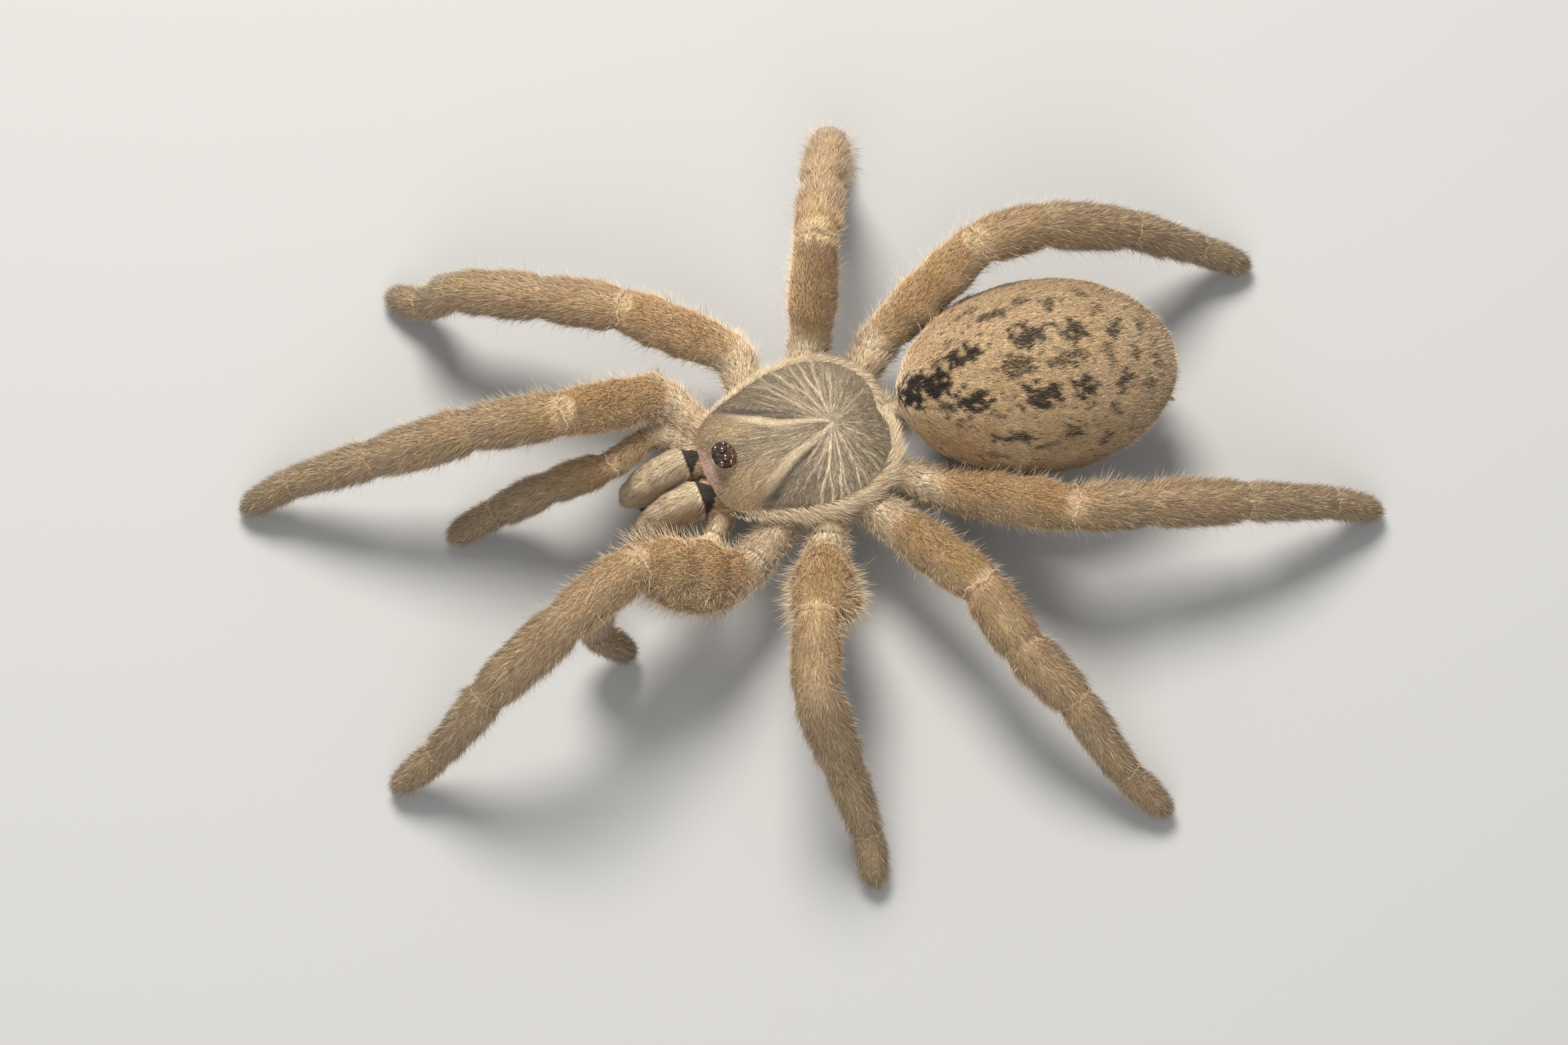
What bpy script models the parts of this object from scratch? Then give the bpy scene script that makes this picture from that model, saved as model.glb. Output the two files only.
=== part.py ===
"""A tarantula standing on ten feet, as closed faceted solids that reach the tips of its coat.

Metres. +Z is up, the head points towards -Y and the animal's left side towards +X.
Every length below is in millimetres and every angle in degrees.
"""
import math

import bmesh
import bpy
from mathutils import Matrix, Vector

MM = 0.001
UP = Vector((0.0, 0.0, 1.0))
GAP = 0.3
SMOOTH_ANGLE = 40.0

# Limbs -----------------------------------------------------------------------------------
LEG_SIDES = 12
BODY_SIDES = 24
SEGMENTS = ("femur", "patella", "tibia", "metatarsus", "tarsus")
PALP_SEGMENTS = ("femur", "patella", "tibia", "tarsus")
LENGTHS = {
    "leg_1": (13.9, 9.0, 10.8, 9.1, 6.7),
    "leg_2": (12.1, 8.0, 9.4, 7.2, 5.5),
    "leg_3": (11.7, 6.9, 7.2, 8.7, 6.2),
    "leg_4": (14.2, 7.0, 10.1, 9.8, 6.7),
    "palp": (6.8, 6.6, 6.6, 6.0),
}
HIPS = {
    "leg_1": (10.5, -7.1, 7.9),
    "leg_2": (11.8, 1.0, 7.7),
    "leg_3": (10.8, 8.6, 7.5),
    "leg_4": (9.0, 14.0, 7.3),
    "palp": (6.95, -9.3, 7.1),
}
# How far a hip is swung from its mirrored place by its coxa.
HIP_SHIFTS = {"leg_right_4": (0.85, 0.9, 0.0)}
COXA_ROOTS = {
    "leg_1": (3.2, -3.6, 6.4),
    "leg_2": (3.4, 0.4, 6.4),
    "leg_3": (3.4, 4.2, 6.4),
    "leg_4": (2.8, 7.8, 6.4),
    "palp": (3.5, -4.4, 6.3),
}
# How far a coxa is swung back under the carapace by its leg.
ROOT_SHIFTS = {"leg_left_1": (2.1, 4.4, 0.0), "leg_left_2": (0.4, 4.0, 0.0)}
# Heading of each segment outwards from straight ahead, then its rise above level. The last
# segment of a limb has only a heading, because it reaches down to the floor.
POSES = {
    "leg_left_1": ((-4, 42), (24, 9), (10, -36), (9, -52), (3,)),
    "leg_right_1": ((-14, 36), (22, -20), (15, -23), (19, -27), (9,)),
    "leg_left_2": ((62, 38), (67, 9), (100, -58), (94, -44), (79,)),
    "leg_right_2": ((33, 25), (38, -13), (32, -9), (51, -62), (52,)),
    "leg_left_3": ((113, 16), (99, -7), (114, -13), (109, -32), (123,)),
    "leg_right_3": ((117, 61), (118, -24), (118, -19), (124, -78), (117,)),
    "leg_left_4": ((138, 21), (168, -12), (165, -12), (170, -25), (168,)),
    "leg_right_4": ((171.5, 41.5), (179, -10), (190, -26), (190, -43), (204,)),
    "palp_left": ((2, 26), (23, 20), (20, -80), (155,)),
    "palp_right": ((-30, 24), (12, -22), (14, -38), (2,)),
}
# Radius at fractions of a segment's length, for a leg and for a palp. A femur is deeper than
# it is wide, so it has a half width and a half depth, and the depth sags below its line.
PROFILES = {
    "femur": ((0.0, 2.2, 2.35), (0.2, 2.35, 2.75), (0.5, 2.4, 3.0), (0.8, 2.45, 2.9), (1.0, 2.55, 2.6)),
    "patella": ((0.0, 2.6), (0.3, 2.7), (0.7, 2.7), (1.0, 2.6)),
    "tibia": ((0.0, 2.6), (0.3, 2.7), (0.7, 2.6), (1.0, 2.3)),
    "metatarsus": ((0.0, 2.3), (0.35, 2.2), (0.7, 2.05), (1.0, 1.9)),
    "tarsus": ((0.0, 1.9), (0.3, 1.85), (0.65, 1.7), (0.88, 1.35), (1.0, 0.8)),
}
PALP_PROFILES = {
    "femur": ((0.0, 1.4, 1.5), (0.25, 1.4, 1.6), (0.6, 1.5, 1.8), (1.0, 1.75, 1.8)),
    "patella": ((0.0, 1.8), (0.35, 2.05), (0.7, 2.1), (1.0, 2.0)),
    "tibia": ((0.0, 2.0), (0.35, 2.1), (0.7, 2.05), (1.0, 1.85)),
    "tarsus": ((0.0, 1.85), (0.35, 1.8), (0.65, 1.65), (0.88, 1.3), (1.0, 0.8)),
}
FEMUR_SAG = 0.9
# How far a leg lies over on its side, which turns the depth of its femur from upright, and by
# what the long hair under it multiplies the depth beyond the width.
FEMUR_ROLLS = {"leg_left_1": (50.0, 2.1), "leg_left_2": (65.0, 2.1)}
TIP_HEIGHT = 1.5
SOLE_DEPTH = 0.12
SOLE_ROUNDS = 6

# Body ------------------------------------------------------------------------------------
STERNUM_CENTRE = (0.0, 1.6, 6.6)
STERNUM_HALF = (5.8, 8.3, 2.3)
STERNUM_RINGS = 10
COXA_PROFILE = ((0.0, 1.7), (0.35, 2.0), (0.7, 2.15), (1.0, 2.35))
PALP_COXA_PROFILE = ((0.0, 1.3), (0.4, 1.45), (1.0, 1.5))

CARAPACE_HALF_OUTLINE = (
    (0.0, -7.0), (2.4, -6.8), (4.4, -6.1), (5.5, -4.8), (6.3, -2.8), (7.1, -0.4), (7.8, 2.2),
    (8.0, 4.8), (7.6, 7.3), (6.5, 9.5), (4.7, 11.1), (2.6, 11.8), (0.0, 11.6),
)
CARAPACE_UNDERSIDE = 9.3
CARAPACE_RIM = 9.7
CARAPACE_RINGS = (0.94, 0.8, 0.6, 0.38, 0.16)
CARAPACE_CROWN = ((-7.0, 1.3), (-5.5, 2.3), (-3.0, 2.6), (0.0, 2.4), (5.5, 1.5), (9.0, 1.4), (12.0, 0.9))
CARAPACE_SPINE = (-3.6, 8.4)
CARAPACE_FALL = 2.4

EYE_BASE = (0.3, -4.8, 12.45)
EYE_BASE_HALF = (1.45, 1.1, 0.75)
EYE_BASE_RINGS = 8
# Across, along, up from the base and radius of each of four pairs.
EYE_PAIRS = (
    (0.48, 0.0, 0.62, 0.34), (1.12, -0.62, 0.3, 0.3), (1.2, 0.42, 0.28, 0.26), (0.68, 0.62, 0.42, 0.2),
)

# Along, height, half width, half height and slope of the ring for one chelicera.
CHELICERA_ACROSS = 1.93
CHELICERA_SIDES = 16
CHELICERA_SQUARENESS = 2.9
CHELICERA_RINGS = (
    (-7.6, 8.2, 1.55, 2.45, 0), (-7.75, 8.2, 1.7, 2.62, 2), (-8.8, 8.1, 1.78, 2.76, 6),
    (-10.4, 7.65, 1.8, 2.72, 18), (-12.0, 6.8, 1.66, 2.36, 36), (-13.2, 5.7, 1.4, 1.9, 52),
    (-13.8, 4.8, 0.95, 1.25, 62),
)
FANG_POINTS = ((-12.6, 3.5), (-12.2, 2.5), (-11.3, 1.8), (-10.3, 1.55), (-9.4, 1.9))
FANG_RADII = (0.6, 0.6, 0.52, 0.4, 0.26)
FANG_ACROSS = 1.7

ABDOMEN_CENTRE = (2.8, 26.5, 10.3)
ABDOMEN_HEADING = 12.0
ABDOMEN_HEIGHT_RATIO = 0.82
ABDOMEN_RINGS = (
    (-13.8, 1.3), (-13.1, 3.1), (-11.6, 5.3), (-9.2, 7.3), (-6.0, 9.0), (-2.2, 9.95), (1.8, 10.1),
    (5.4, 9.4), (8.6, 8.0), (11.2, 6.0), (12.9, 3.9), (13.8, 1.6),
)
PEDICEL = ((0.0, 10.6, 7.9), (0.4, 15.0, 8.6), 1.2)
SPINNERET_START = (1.1, 9.5, -4.6)
SPINNERET_END = (1.7, 14.2, -6.6)
SPINNERET_PROFILE = ((0.0, 0.75), (0.6, 0.7), (0.85, 0.55), (1.0, 0.3))

COLOURS = {
    "carapace": (0.42, 0.36, 0.27), "prosoma": (0.45, 0.37, 0.27), "eyes": (0.03, 0.02, 0.015),
    "chelicera": (0.5, 0.41, 0.29), "fang": (0.03, 0.01, 0.008), "abdomen": (0.6, 0.47, 0.31),
    "spinneret": (0.4, 0.31, 0.2), "femur": (0.42, 0.31, 0.18), "patella": (0.54, 0.43, 0.29),
    "tibia": (0.55, 0.44, 0.31), "metatarsus": (0.5, 0.41, 0.3), "tarsus": (0.4, 0.34, 0.27),
}
ROUGHNESS = {"eyes": 0.1, "fang": 0.25}


def side_sign(name):
    return -1.0 if "right" in name else 1.0


def mirrored(point, sign):
    return Vector((point[0] * sign, point[1], point[2]))


def direction(heading, rise, sign):
    """Unit vector that leans outwards by the heading and upwards by the rise."""
    heading = math.radians(heading)
    rise = math.radians(rise)
    level = math.cos(rise)
    return Vector((sign * math.sin(heading) * level, -math.cos(heading) * level, math.sin(rise)))


def interpolate(table, at):
    """Value of a table of (place, value) pairs, straight between its rows."""
    for (low, start), (high, end) in zip(table, table[1:]):
        if at <= high:
            share = max(0.0, (at - low) / (high - low))
            return start + (end - start) * share
    return table[-1][1]


def material_for(kind):
    material = bpy.data.materials.get(kind)
    if material is None:
        material = bpy.data.materials.new(kind)
        material.use_nodes = True
        shader = material.node_tree.nodes["Principled BSDF"]
        shader.inputs["Base Color"].default_value = (*COLOURS[kind], 1.0)
        shader.inputs["Roughness"].default_value = ROUGHNESS.get(kind, 0.8)
    return material


def object_from(bm, name, kind, origin=(0.0, 0.0, 0.0)):
    """Finish a mesh that was drawn in millimetres and put it in the scene in metres."""
    bmesh.ops.recalc_face_normals(bm, faces=bm.faces)
    bmesh.ops.translate(bm, vec=-Vector(origin), verts=bm.verts)
    bmesh.ops.scale(bm, vec=(MM, MM, MM), verts=bm.verts)
    mesh = bpy.data.meshes.new(name)
    bm.to_mesh(mesh)
    bm.free()
    mesh.shade_smooth()
    mesh.set_sharp_from_angle(angle=math.radians(SMOOTH_ANGLE))
    mesh.materials.append(material_for(kind))
    obj = bpy.data.objects.new(name, mesh)
    obj.location = Vector(origin) * MM
    bpy.context.scene.collection.objects.link(obj)
    return obj


def helper(obj):
    obj.hide_render = True
    obj.display_type = "WIRE"
    return obj


def boolean(obj, other, operation):
    modifier = obj.modifiers.new(other.name, "BOOLEAN")
    modifier.operation = operation
    modifier.solver = "EXACT"
    modifier.object = other


def edges_between(verts):
    chosen = set(verts)
    return [edge for edge in {e for v in verts for e in v.link_edges} if set(edge.verts) <= chosen]


def bridge(bm, loops):
    for first, second in zip(loops, loops[1:]):
        bmesh.ops.bridge_loops(bm, edges=edges_between(first) + edges_between(second))


def circle(bm, sides, matrix, capped):
    made = bmesh.ops.create_circle(bm, cap_ends=capped, segments=sides, radius=1.0, matrix=matrix)
    return made["verts"]


def loft(bm, matrices, sides):
    """Closed skin over a row of unit circles, each carried to its place by a matrix."""
    last = len(matrices) - 1
    loops = [circle(bm, sides, matrix, i in (0, last)) for i, matrix in enumerate(matrices)]
    bridge(bm, loops)
    return loops


def square_off(loops, matrices, squareness):
    """Swells each round loop of a loft towards a box with soft corners."""
    for loop, matrix in zip(loops, matrices):
        back = matrix.inverted()
        for vert in loop:
            flat = back @ vert.co
            size = (abs(flat.x) ** squareness + abs(flat.y) ** squareness) ** (1 / squareness)
            vert.co = matrix @ Vector((flat.x / size, flat.y / size, 0.0))


def ring_matrix(centre, axis, half_width, half_height):
    """Carries a unit circle to an upright ellipse that faces along the axis."""
    across = UP.cross(axis).normalized()
    above = axis.cross(across).normalized()
    turn = Matrix((across, above, axis.normalized())).transposed().to_4x4()
    return Matrix.Translation(centre) @ turn @ Matrix.Diagonal((half_width, half_height, 1.0, 1.0))


def swept(points, radii, sides):
    """Row of ring matrices along a bent line."""
    rings = []
    for i, (point, radius) in enumerate(zip(points, radii)):
        before = points[max(i - 1, 0)]
        after = points[min(i + 1, len(points) - 1)]
        rings.append(ring_matrix(point, (after - before).normalized(), radius, radius))
    return rings


def joint_planes(directions):
    """Normals of the planes between the segments of a limb, with a square cut at its end."""
    middles = [(a + b).normalized() for a, b in zip(directions, directions[1:])]
    return middles + [directions[-1]]


def section(at, radii, roll, deeper):
    """Carries a unit circle to a limb's cross section. The dorsal side keeps its line."""
    wide = radii[0]
    deep = wide + (radii[-1] - wide) * deeper
    lean = Matrix.Rotation(math.radians(roll), 4, "Z")
    sag = Matrix.Translation((0.0, -FEMUR_SAG * (deep - wide), at))
    return lean @ sag @ Matrix.Diagonal((wide, deep, 1.0, 1.0))


def mitred_segment(bm, start, end, start_plane, end_plane, profile, roll=0.0, deeper=1.0):
    """Tube between two joint planes. It keeps half the gap to each plane."""
    axis = (end - start).normalized()
    length = (end - start).length
    frame = ring_matrix(start, axis, 1.0, 1.0)
    turn_back = frame.to_3x3().transposed()
    near = turn_back @ start_plane
    far = turn_back @ end_plane
    loops = loft(bm, [section(at, radii, roll, deeper) for at, *radii in profile], LEG_SIDES)
    for vert in [v for loop in loops for v in loop]:
        share = vert.co.z
        first = (0.5 * GAP - near.x * vert.co.x - near.y * vert.co.y) / near.z
        last = length - (0.5 * GAP + far.x * vert.co.x + far.y * vert.co.y) / far.z
        vert.co.z = first + share * (last - first)
    bmesh.ops.transform(bm, matrix=frame, verts=bm.verts)


def press_onto_floor(bm, joint, tip):
    """Lower the far end until its sole is just under the floor, then cut the sole flat."""
    axis = tip - joint
    shares = {v: (v.co - joint).dot(axis) / axis.length_squared for v in bm.verts}
    for _ in range(SOLE_ROUNDS):
        drop = min(v.co.z for v in bm.verts) + SOLE_DEPTH
        for vert, share in shares.items():
            vert.co.z -= drop * min(max(share, 0.0), 1.0)
    whole = bm.verts[:] + bm.edges[:] + bm.faces[:]
    bmesh.ops.bisect_plane(bm, geom=whole, plane_co=(0, 0, 0), plane_no=(0, 0, -1), clear_outer=True)
    bmesh.ops.holes_fill(bm, edges=[e for e in bm.edges if e.is_boundary])


def limb_kind(name):
    return "palp" if name.startswith("palp") else "leg_" + name[-1]


def shifted(name, places, shifts):
    """Place of a limb's joint on its own side, moved where that limb has a shift."""
    return mirrored(places[limb_kind(name)], side_sign(name)) + Vector(shifts.get(name, (0.0, 0.0, 0.0)))


def limb_joints(name):
    """Joint centres of a limb from hip to tip, and the direction of each segment."""
    kind = limb_kind(name)
    sign = side_sign(name)
    joints = [shifted(name, HIPS, HIP_SHIFTS)]
    directions = []
    for length, pose in zip(LENGTHS[kind], POSES[name]):
        if len(pose) == 1:
            rise = math.degrees(math.asin((TIP_HEIGHT - joints[-1].z) / length))
            pose = (pose[0], rise)
        directions.append(direction(*pose, sign))
        joints.append(joints[-1] + directions[-1] * length)
    return joints, directions


def build_limb(name):
    """All segments of one limb, and the coxa that carries it as a helper."""
    kind = limb_kind(name)
    is_palp = kind == "palp"
    joints, directions = limb_joints(name)
    root = shifted(name, COXA_ROOTS, ROOT_SHIFTS)
    coxa_axis = (joints[0] - root).normalized()
    planes = [coxa_axis] + joint_planes([coxa_axis] + directions)
    profiles = PALP_PROFILES if is_palp else PROFILES
    for i, segment in enumerate(PALP_SEGMENTS if is_palp else SEGMENTS):
        bm = bmesh.new()
        roll, deeper = FEMUR_ROLLS.get(name, (0.0, 1.0)) if segment == "femur" else (0.0, 1.0)
        ends = (joints[i], joints[i + 1], planes[i + 1], planes[i + 2])
        mitred_segment(bm, *ends, profiles[segment], roll, deeper)
        if segment == "tarsus":
            press_onto_floor(bm, joints[i], joints[i + 1])
        object_from(bm, name + "_" + segment, segment, joints[i])
    bm = bmesh.new()
    profile = PALP_COXA_PROFILE if is_palp else COXA_PROFILE
    mitred_segment(bm, root, joints[0], planes[0], planes[1], profile)
    return helper(object_from(bm, name + "_coxa", "prosoma", root))


def ellipsoid(bm, centre, half, rings):
    matrix = Matrix.Translation(centre) @ Matrix.Diagonal((*half, 1.0))
    bmesh.ops.create_uvsphere(bm, u_segments=BODY_SIDES, v_segments=rings, radius=1.0, matrix=matrix)


def build_prosoma(coxae):
    """Sternum with every coxa joined to it."""
    bm = bmesh.new()
    ellipsoid(bm, STERNUM_CENTRE, STERNUM_HALF, STERNUM_RINGS)
    body = object_from(bm, "prosoma", "prosoma", STERNUM_CENTRE)
    for coxa in coxae:
        boolean(body, coxa, "UNION")


def carapace_point(rim, share):
    """Point on the shield between its rim and its spine. A share of one is the rim."""
    spine_y = min(max(rim[1], CARAPACE_SPINE[0]), CARAPACE_SPINE[1])
    x = rim[0] * share
    y = spine_y + (rim[1] - spine_y) * share
    crown = interpolate(CARAPACE_CROWN, y)
    return Vector((x, y, CARAPACE_RIM + crown * (1.0 - share**CARAPACE_FALL)))


def build_carapace():
    right = [(-x, y) for x, y in CARAPACE_HALF_OUTLINE[-2:0:-1]]
    outline = list(CARAPACE_HALF_OUTLINE) + right
    bm = bmesh.new()
    loops = [[bm.verts.new((x, y, CARAPACE_UNDERSIDE)) for x, y in outline]]
    for share in (1.0, *CARAPACE_RINGS):
        loops.append([bm.verts.new(carapace_point(rim, share)) for rim in outline])
    for loop in loops:
        for first, second in zip(loop, loop[1:] + loop[:1]):
            bm.edges.new((first, second))
    bridge(bm, loops)
    bm.faces.new(loops[0])
    bm.faces.new(loops[-1])
    object_from(bm, "carapace", "carapace")


def build_eyes():
    """Low mound with eight round eyes joined to it."""
    bm = bmesh.new()
    ellipsoid(bm, EYE_BASE, EYE_BASE_HALF, EYE_BASE_RINGS)
    floor = Vector(EYE_BASE)
    whole = bm.verts[:] + bm.edges[:] + bm.faces[:]
    bmesh.ops.bisect_plane(bm, geom=whole, plane_co=floor, plane_no=(0, 0, -1), clear_outer=True)
    bmesh.ops.holes_fill(bm, edges=[e for e in bm.edges if e.is_boundary])
    mound = object_from(bm, "eyes", "eyes", EYE_BASE)
    for i, (across, along, above, radius) in enumerate(EYE_PAIRS):
        for sign in (1.0, -1.0):
            bm = bmesh.new()
            centre = floor + Vector((sign * across, along, above))
            place = Matrix.Translation(centre)
            bmesh.ops.create_icosphere(bm, subdivisions=1, radius=radius, matrix=place)
            lens = helper(object_from(bm, f"lens_{i}_{sign:.0f}", "eyes", centre))
            boolean(mound, lens, "UNION")


def build_chelicera(side):
    sign = side_sign(side)
    rings = []
    for along, height, half_width, half_height, slope in CHELICERA_RINGS:
        axis = direction(0, -slope, sign)
        centre = Vector((sign * CHELICERA_ACROSS, along, height))
        rings.append(ring_matrix(centre, axis, half_width, half_height))
    bm = bmesh.new()
    square_off(loft(bm, rings, CHELICERA_SIDES), rings, CHELICERA_SQUARENESS)
    object_from(bm, "chelicera_" + side, "chelicera", rings[0].translation)
    points = [Vector((sign * FANG_ACROSS, along, height)) for along, height in FANG_POINTS]
    bm = bmesh.new()
    loft(bm, swept(points, FANG_RADII, LEG_SIDES), LEG_SIDES)
    object_from(bm, "fang_" + side, "fang", points[0])


def abdomen_place():
    turn = Matrix.Rotation(math.radians(-ABDOMEN_HEADING), 4, "Z")
    return Matrix.Translation(ABDOMEN_CENTRE) @ turn


def abdomen_mesh(extra):
    """Egg of the abdomen. Extra thickness makes the cutter that keeps its neighbours clear."""
    bm = bmesh.new()
    rings = []
    for along, half_width in ABDOMEN_RINGS:
        centre = Vector((0.0, along + math.copysign(extra, along), 0.0))
        wide = half_width + extra
        high = half_width * ABDOMEN_HEIGHT_RATIO + extra
        rings.append(abdomen_place() @ ring_matrix(centre, Vector((0, 1, 0)), wide, high))
    loft(bm, rings, BODY_SIDES)
    return bm


def build_abdomen():
    object_from(abdomen_mesh(0.0), "abdomen", "abdomen", ABDOMEN_CENTRE)
    cutter = helper(object_from(abdomen_mesh(GAP), "abdomen_clearance", "abdomen", ABDOMEN_CENTRE))
    start, end, radius = PEDICEL
    bm = bmesh.new()
    loft(bm, swept([Vector(start), Vector(end)], (radius, radius), LEG_SIDES), LEG_SIDES)
    boolean(object_from(bm, "pedicel", "prosoma", start), cutter, "DIFFERENCE")
    for side in ("left", "right"):
        sign = side_sign(side)
        start = abdomen_place() @ mirrored(SPINNERET_START, sign)
        end = abdomen_place() @ mirrored(SPINNERET_END, sign)
        axis = (end - start).normalized()
        bm = bmesh.new()
        mitred_segment(bm, start, end, axis, axis, SPINNERET_PROFILE)
        boolean(object_from(bm, "spinneret_" + side, "spinneret", start), cutter, "DIFFERENCE")


def centre_on_floor():
    """Hang every piece from one empty, placed so that the origin is under the middle of the model."""
    pieces = list(bpy.data.objects)
    shown = [obj for obj in pieces if not obj.hide_render]
    corners = [v.co + obj.location for obj in shown for v in obj.data.vertices]
    low = Vector([min(c[i] for c in corners) for i in range(3)])
    high = Vector([max(c[i] for c in corners) for i in range(3)])
    middle = (low + high) / 2
    stance = bpy.data.objects.new("stance", None)
    stance.location = (-middle.x, -middle.y, 0.0)
    bpy.context.scene.collection.objects.link(stance)
    for obj in pieces:
        obj.parent = stance


def main():
    for obj in list(bpy.data.objects):
        bpy.data.objects.remove(obj)
    coxae = [build_limb(name) for name in POSES]
    build_prosoma(coxae)
    build_carapace()
    build_eyes()
    for side in ("left", "right"):
        build_chelicera(side)
    build_abdomen()
    centre_on_floor()


main()
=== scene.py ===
"""Looks of a pale, short-furred tarantula: skin, shell, eyes, fangs, claws and a coat of tufts."""
import math
from collections import namedtuple
from contextlib import contextmanager

import bpy
import numpy as np
from bpy.props import FloatProperty, FloatVectorProperty, PointerProperty
from mathutils import Matrix, Vector
from mathutils.bvhtree import BVHTree


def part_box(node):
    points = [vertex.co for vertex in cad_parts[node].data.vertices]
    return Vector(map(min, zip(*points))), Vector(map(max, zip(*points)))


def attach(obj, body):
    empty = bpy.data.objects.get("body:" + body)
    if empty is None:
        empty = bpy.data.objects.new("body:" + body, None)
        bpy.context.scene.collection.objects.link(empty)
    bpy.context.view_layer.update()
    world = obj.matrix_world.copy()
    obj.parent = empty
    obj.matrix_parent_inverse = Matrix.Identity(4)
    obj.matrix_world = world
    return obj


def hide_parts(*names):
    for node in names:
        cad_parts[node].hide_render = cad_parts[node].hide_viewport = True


bl_info = {
    "name": "Pale Tarantula",
    "version": (1, 0, 0),
    "blender": (4, 5, 0),
    "location": "View3D > Sidebar > Tarantula",
    "description": "Skin, shell, eyes, claws and coat of a pale tarantula around its fixed frame",
    "category": "Object",
}

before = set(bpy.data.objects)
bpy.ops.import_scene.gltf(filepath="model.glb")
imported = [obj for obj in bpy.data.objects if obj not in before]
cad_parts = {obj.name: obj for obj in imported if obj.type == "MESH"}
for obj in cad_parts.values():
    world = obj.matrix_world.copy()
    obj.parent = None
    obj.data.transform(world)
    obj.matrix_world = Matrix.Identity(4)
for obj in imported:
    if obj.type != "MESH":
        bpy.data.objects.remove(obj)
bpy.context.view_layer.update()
MM = 0.001
BODY = "root"


# Places taken from the frame ------------------------
SHELL_LOW, SHELL_HIGH = (np.array(corner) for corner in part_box("carapace"))
DATUM_BEHIND_FRONT = 7.0 * MM
# Point on the floor under the midline, a little behind the front of the carapace.
DATUM = np.array([(SHELL_LOW[0] + SHELL_HIGH[0]) / 2, SHELL_LOW[1] + DATUM_BEHIND_FRONT, 0.0])
UP = np.array([0.0, 0.0, 1.0])


def spot(across, along, up):
    """Place given in millimetres from the datum, in metres."""
    return DATUM + np.array([across, along, up]) * MM


def unit(vectors):
    lengths = np.linalg.norm(vectors, axis=-1, keepdims=True)
    return vectors / np.maximum(lengths, 1e-12)


def vectors_of(rows, name):
    """A property of every row of a mesh's vertices or normals, as rows of three numbers."""
    found = np.empty(len(rows) * 3, np.float32)
    rows.foreach_get(name, found)
    return found.reshape(-1, 3).astype(float)


def coordinates(mesh):
    return vectors_of(mesh.vertices, "co")


def normals(mesh):
    return vectors_of(mesh.vertex_normals, "vector")


def node_points(name):
    """Corners of a CAD node, each of them once."""
    return np.unique(coordinates(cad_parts[name].data).round(7), axis=0)


def turn_of(points):
    """Turn of each point round the origin, from straight ahead to the left."""
    return np.arctan2(points[:, 0], -points[:, 1])


def level_way(turn):
    """Level unit vector at each turn."""
    return np.stack([np.sin(turn), -np.cos(turn), np.zeros(len(turn))], 1)


def bell(value, width, power=2):
    """One where the value is zero, falling off on both sides over the width."""
    return np.exp(-(np.abs(value / width) ** power))


def fade(value, start, end, soft):
    """One between start and end, falling off softly outside them."""
    return 1 / (1 + np.exp(-(value - start) / soft)) / (1 + np.exp((value - end) / soft))


RING_CORNERS = 12
RING_DEPTH = 0.3 * MM
GIRTH_SHARES = np.linspace(0.0, 1.0, 13)
GIRTH_BLUR = 0.1


def joint_between(first, second):
    """Centre of the two rings that face each other across the gap of a joint."""
    a, b = node_points(first), node_points(second)
    gaps = np.linalg.norm(a[:, None] - b[None], axis=2)
    near_a = a[gaps.min(1).argsort()[:RING_CORNERS]]
    near_b = b[gaps.min(0).argsort()[:RING_CORNERS]]
    return (near_a.mean(0) + near_b.mean(0)) / 2


def far_end(name, joint):
    """Centre of the last ring of a limb."""
    points = node_points(name)
    reach = (points - joint) @ unit(points.mean(0) - joint)
    return points[reach > reach.max() - RING_DEPTH].mean(0)


def long_axis(name, towards):
    """Two ends of a rounded node along its own length, the second lying in the direction given."""
    points = node_points(name)
    centre = (points.min(0) + points.max(0)) / 2
    _, _, axes = np.linalg.svd(points - points.mean(0), full_matrices=False)
    axis = axes[0] * np.sign(axes[0] @ np.array(towards))
    reach = (points - centre) @ axis
    return centre + axis * reach.min(), centre + axis * reach.max()


def girths(name, start, end):
    """Mean radius of a node at even shares of its length."""
    points = node_points(name)
    axis = end - start
    share = (points - start) @ axis / (axis @ axis)
    off = np.linalg.norm(points - start - share[:, None] * axis, axis=1)
    weight = bell(GIRTH_SHARES[:, None] - share, GIRTH_BLUR) + 1e-9
    return (weight * off).sum(1) / weight.sum(1)


# Runs: the straight stretches that the coat lies along ------------------------
SIDES = ("left", "right")
SEGMENTS = ("femur", "patella", "tibia", "metatarsus", "tarsus")
PALP_SEGMENTS = ("femur", "patella", "tibia", "tarsus")
LEGS = [f"leg_{side}_{number}" for side in SIDES for number in (1, 2, 3, 4)]
PALPS = [f"palp_{side}" for side in SIDES]
LIMBS = LEGS + PALPS
COXA_REACH = np.array([0.31, 0.5])
COXA_HEIGHT = 6.4 * MM
# How far a coxa is swung back under the carapace by its leg, across and along, in millimetres.
COXA_SWINGS = {"leg_left_1": (2.1, 4.4), "leg_left_2": (0.4, 4.0)}
COXA_GIRTHS = (1.7 * MM, 2.35 * MM)
PALP_COXA_GIRTHS = (1.3 * MM, 1.65 * MM)
STERNUM = ((0.0, -4.6, 6.6), (0.0, 8.0, 6.6), 4.2)

Run = namedtuple("Run", "part kind start end girths")


def limb_segments(limb):
    return PALP_SEGMENTS if limb in PALPS else SEGMENTS


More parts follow.
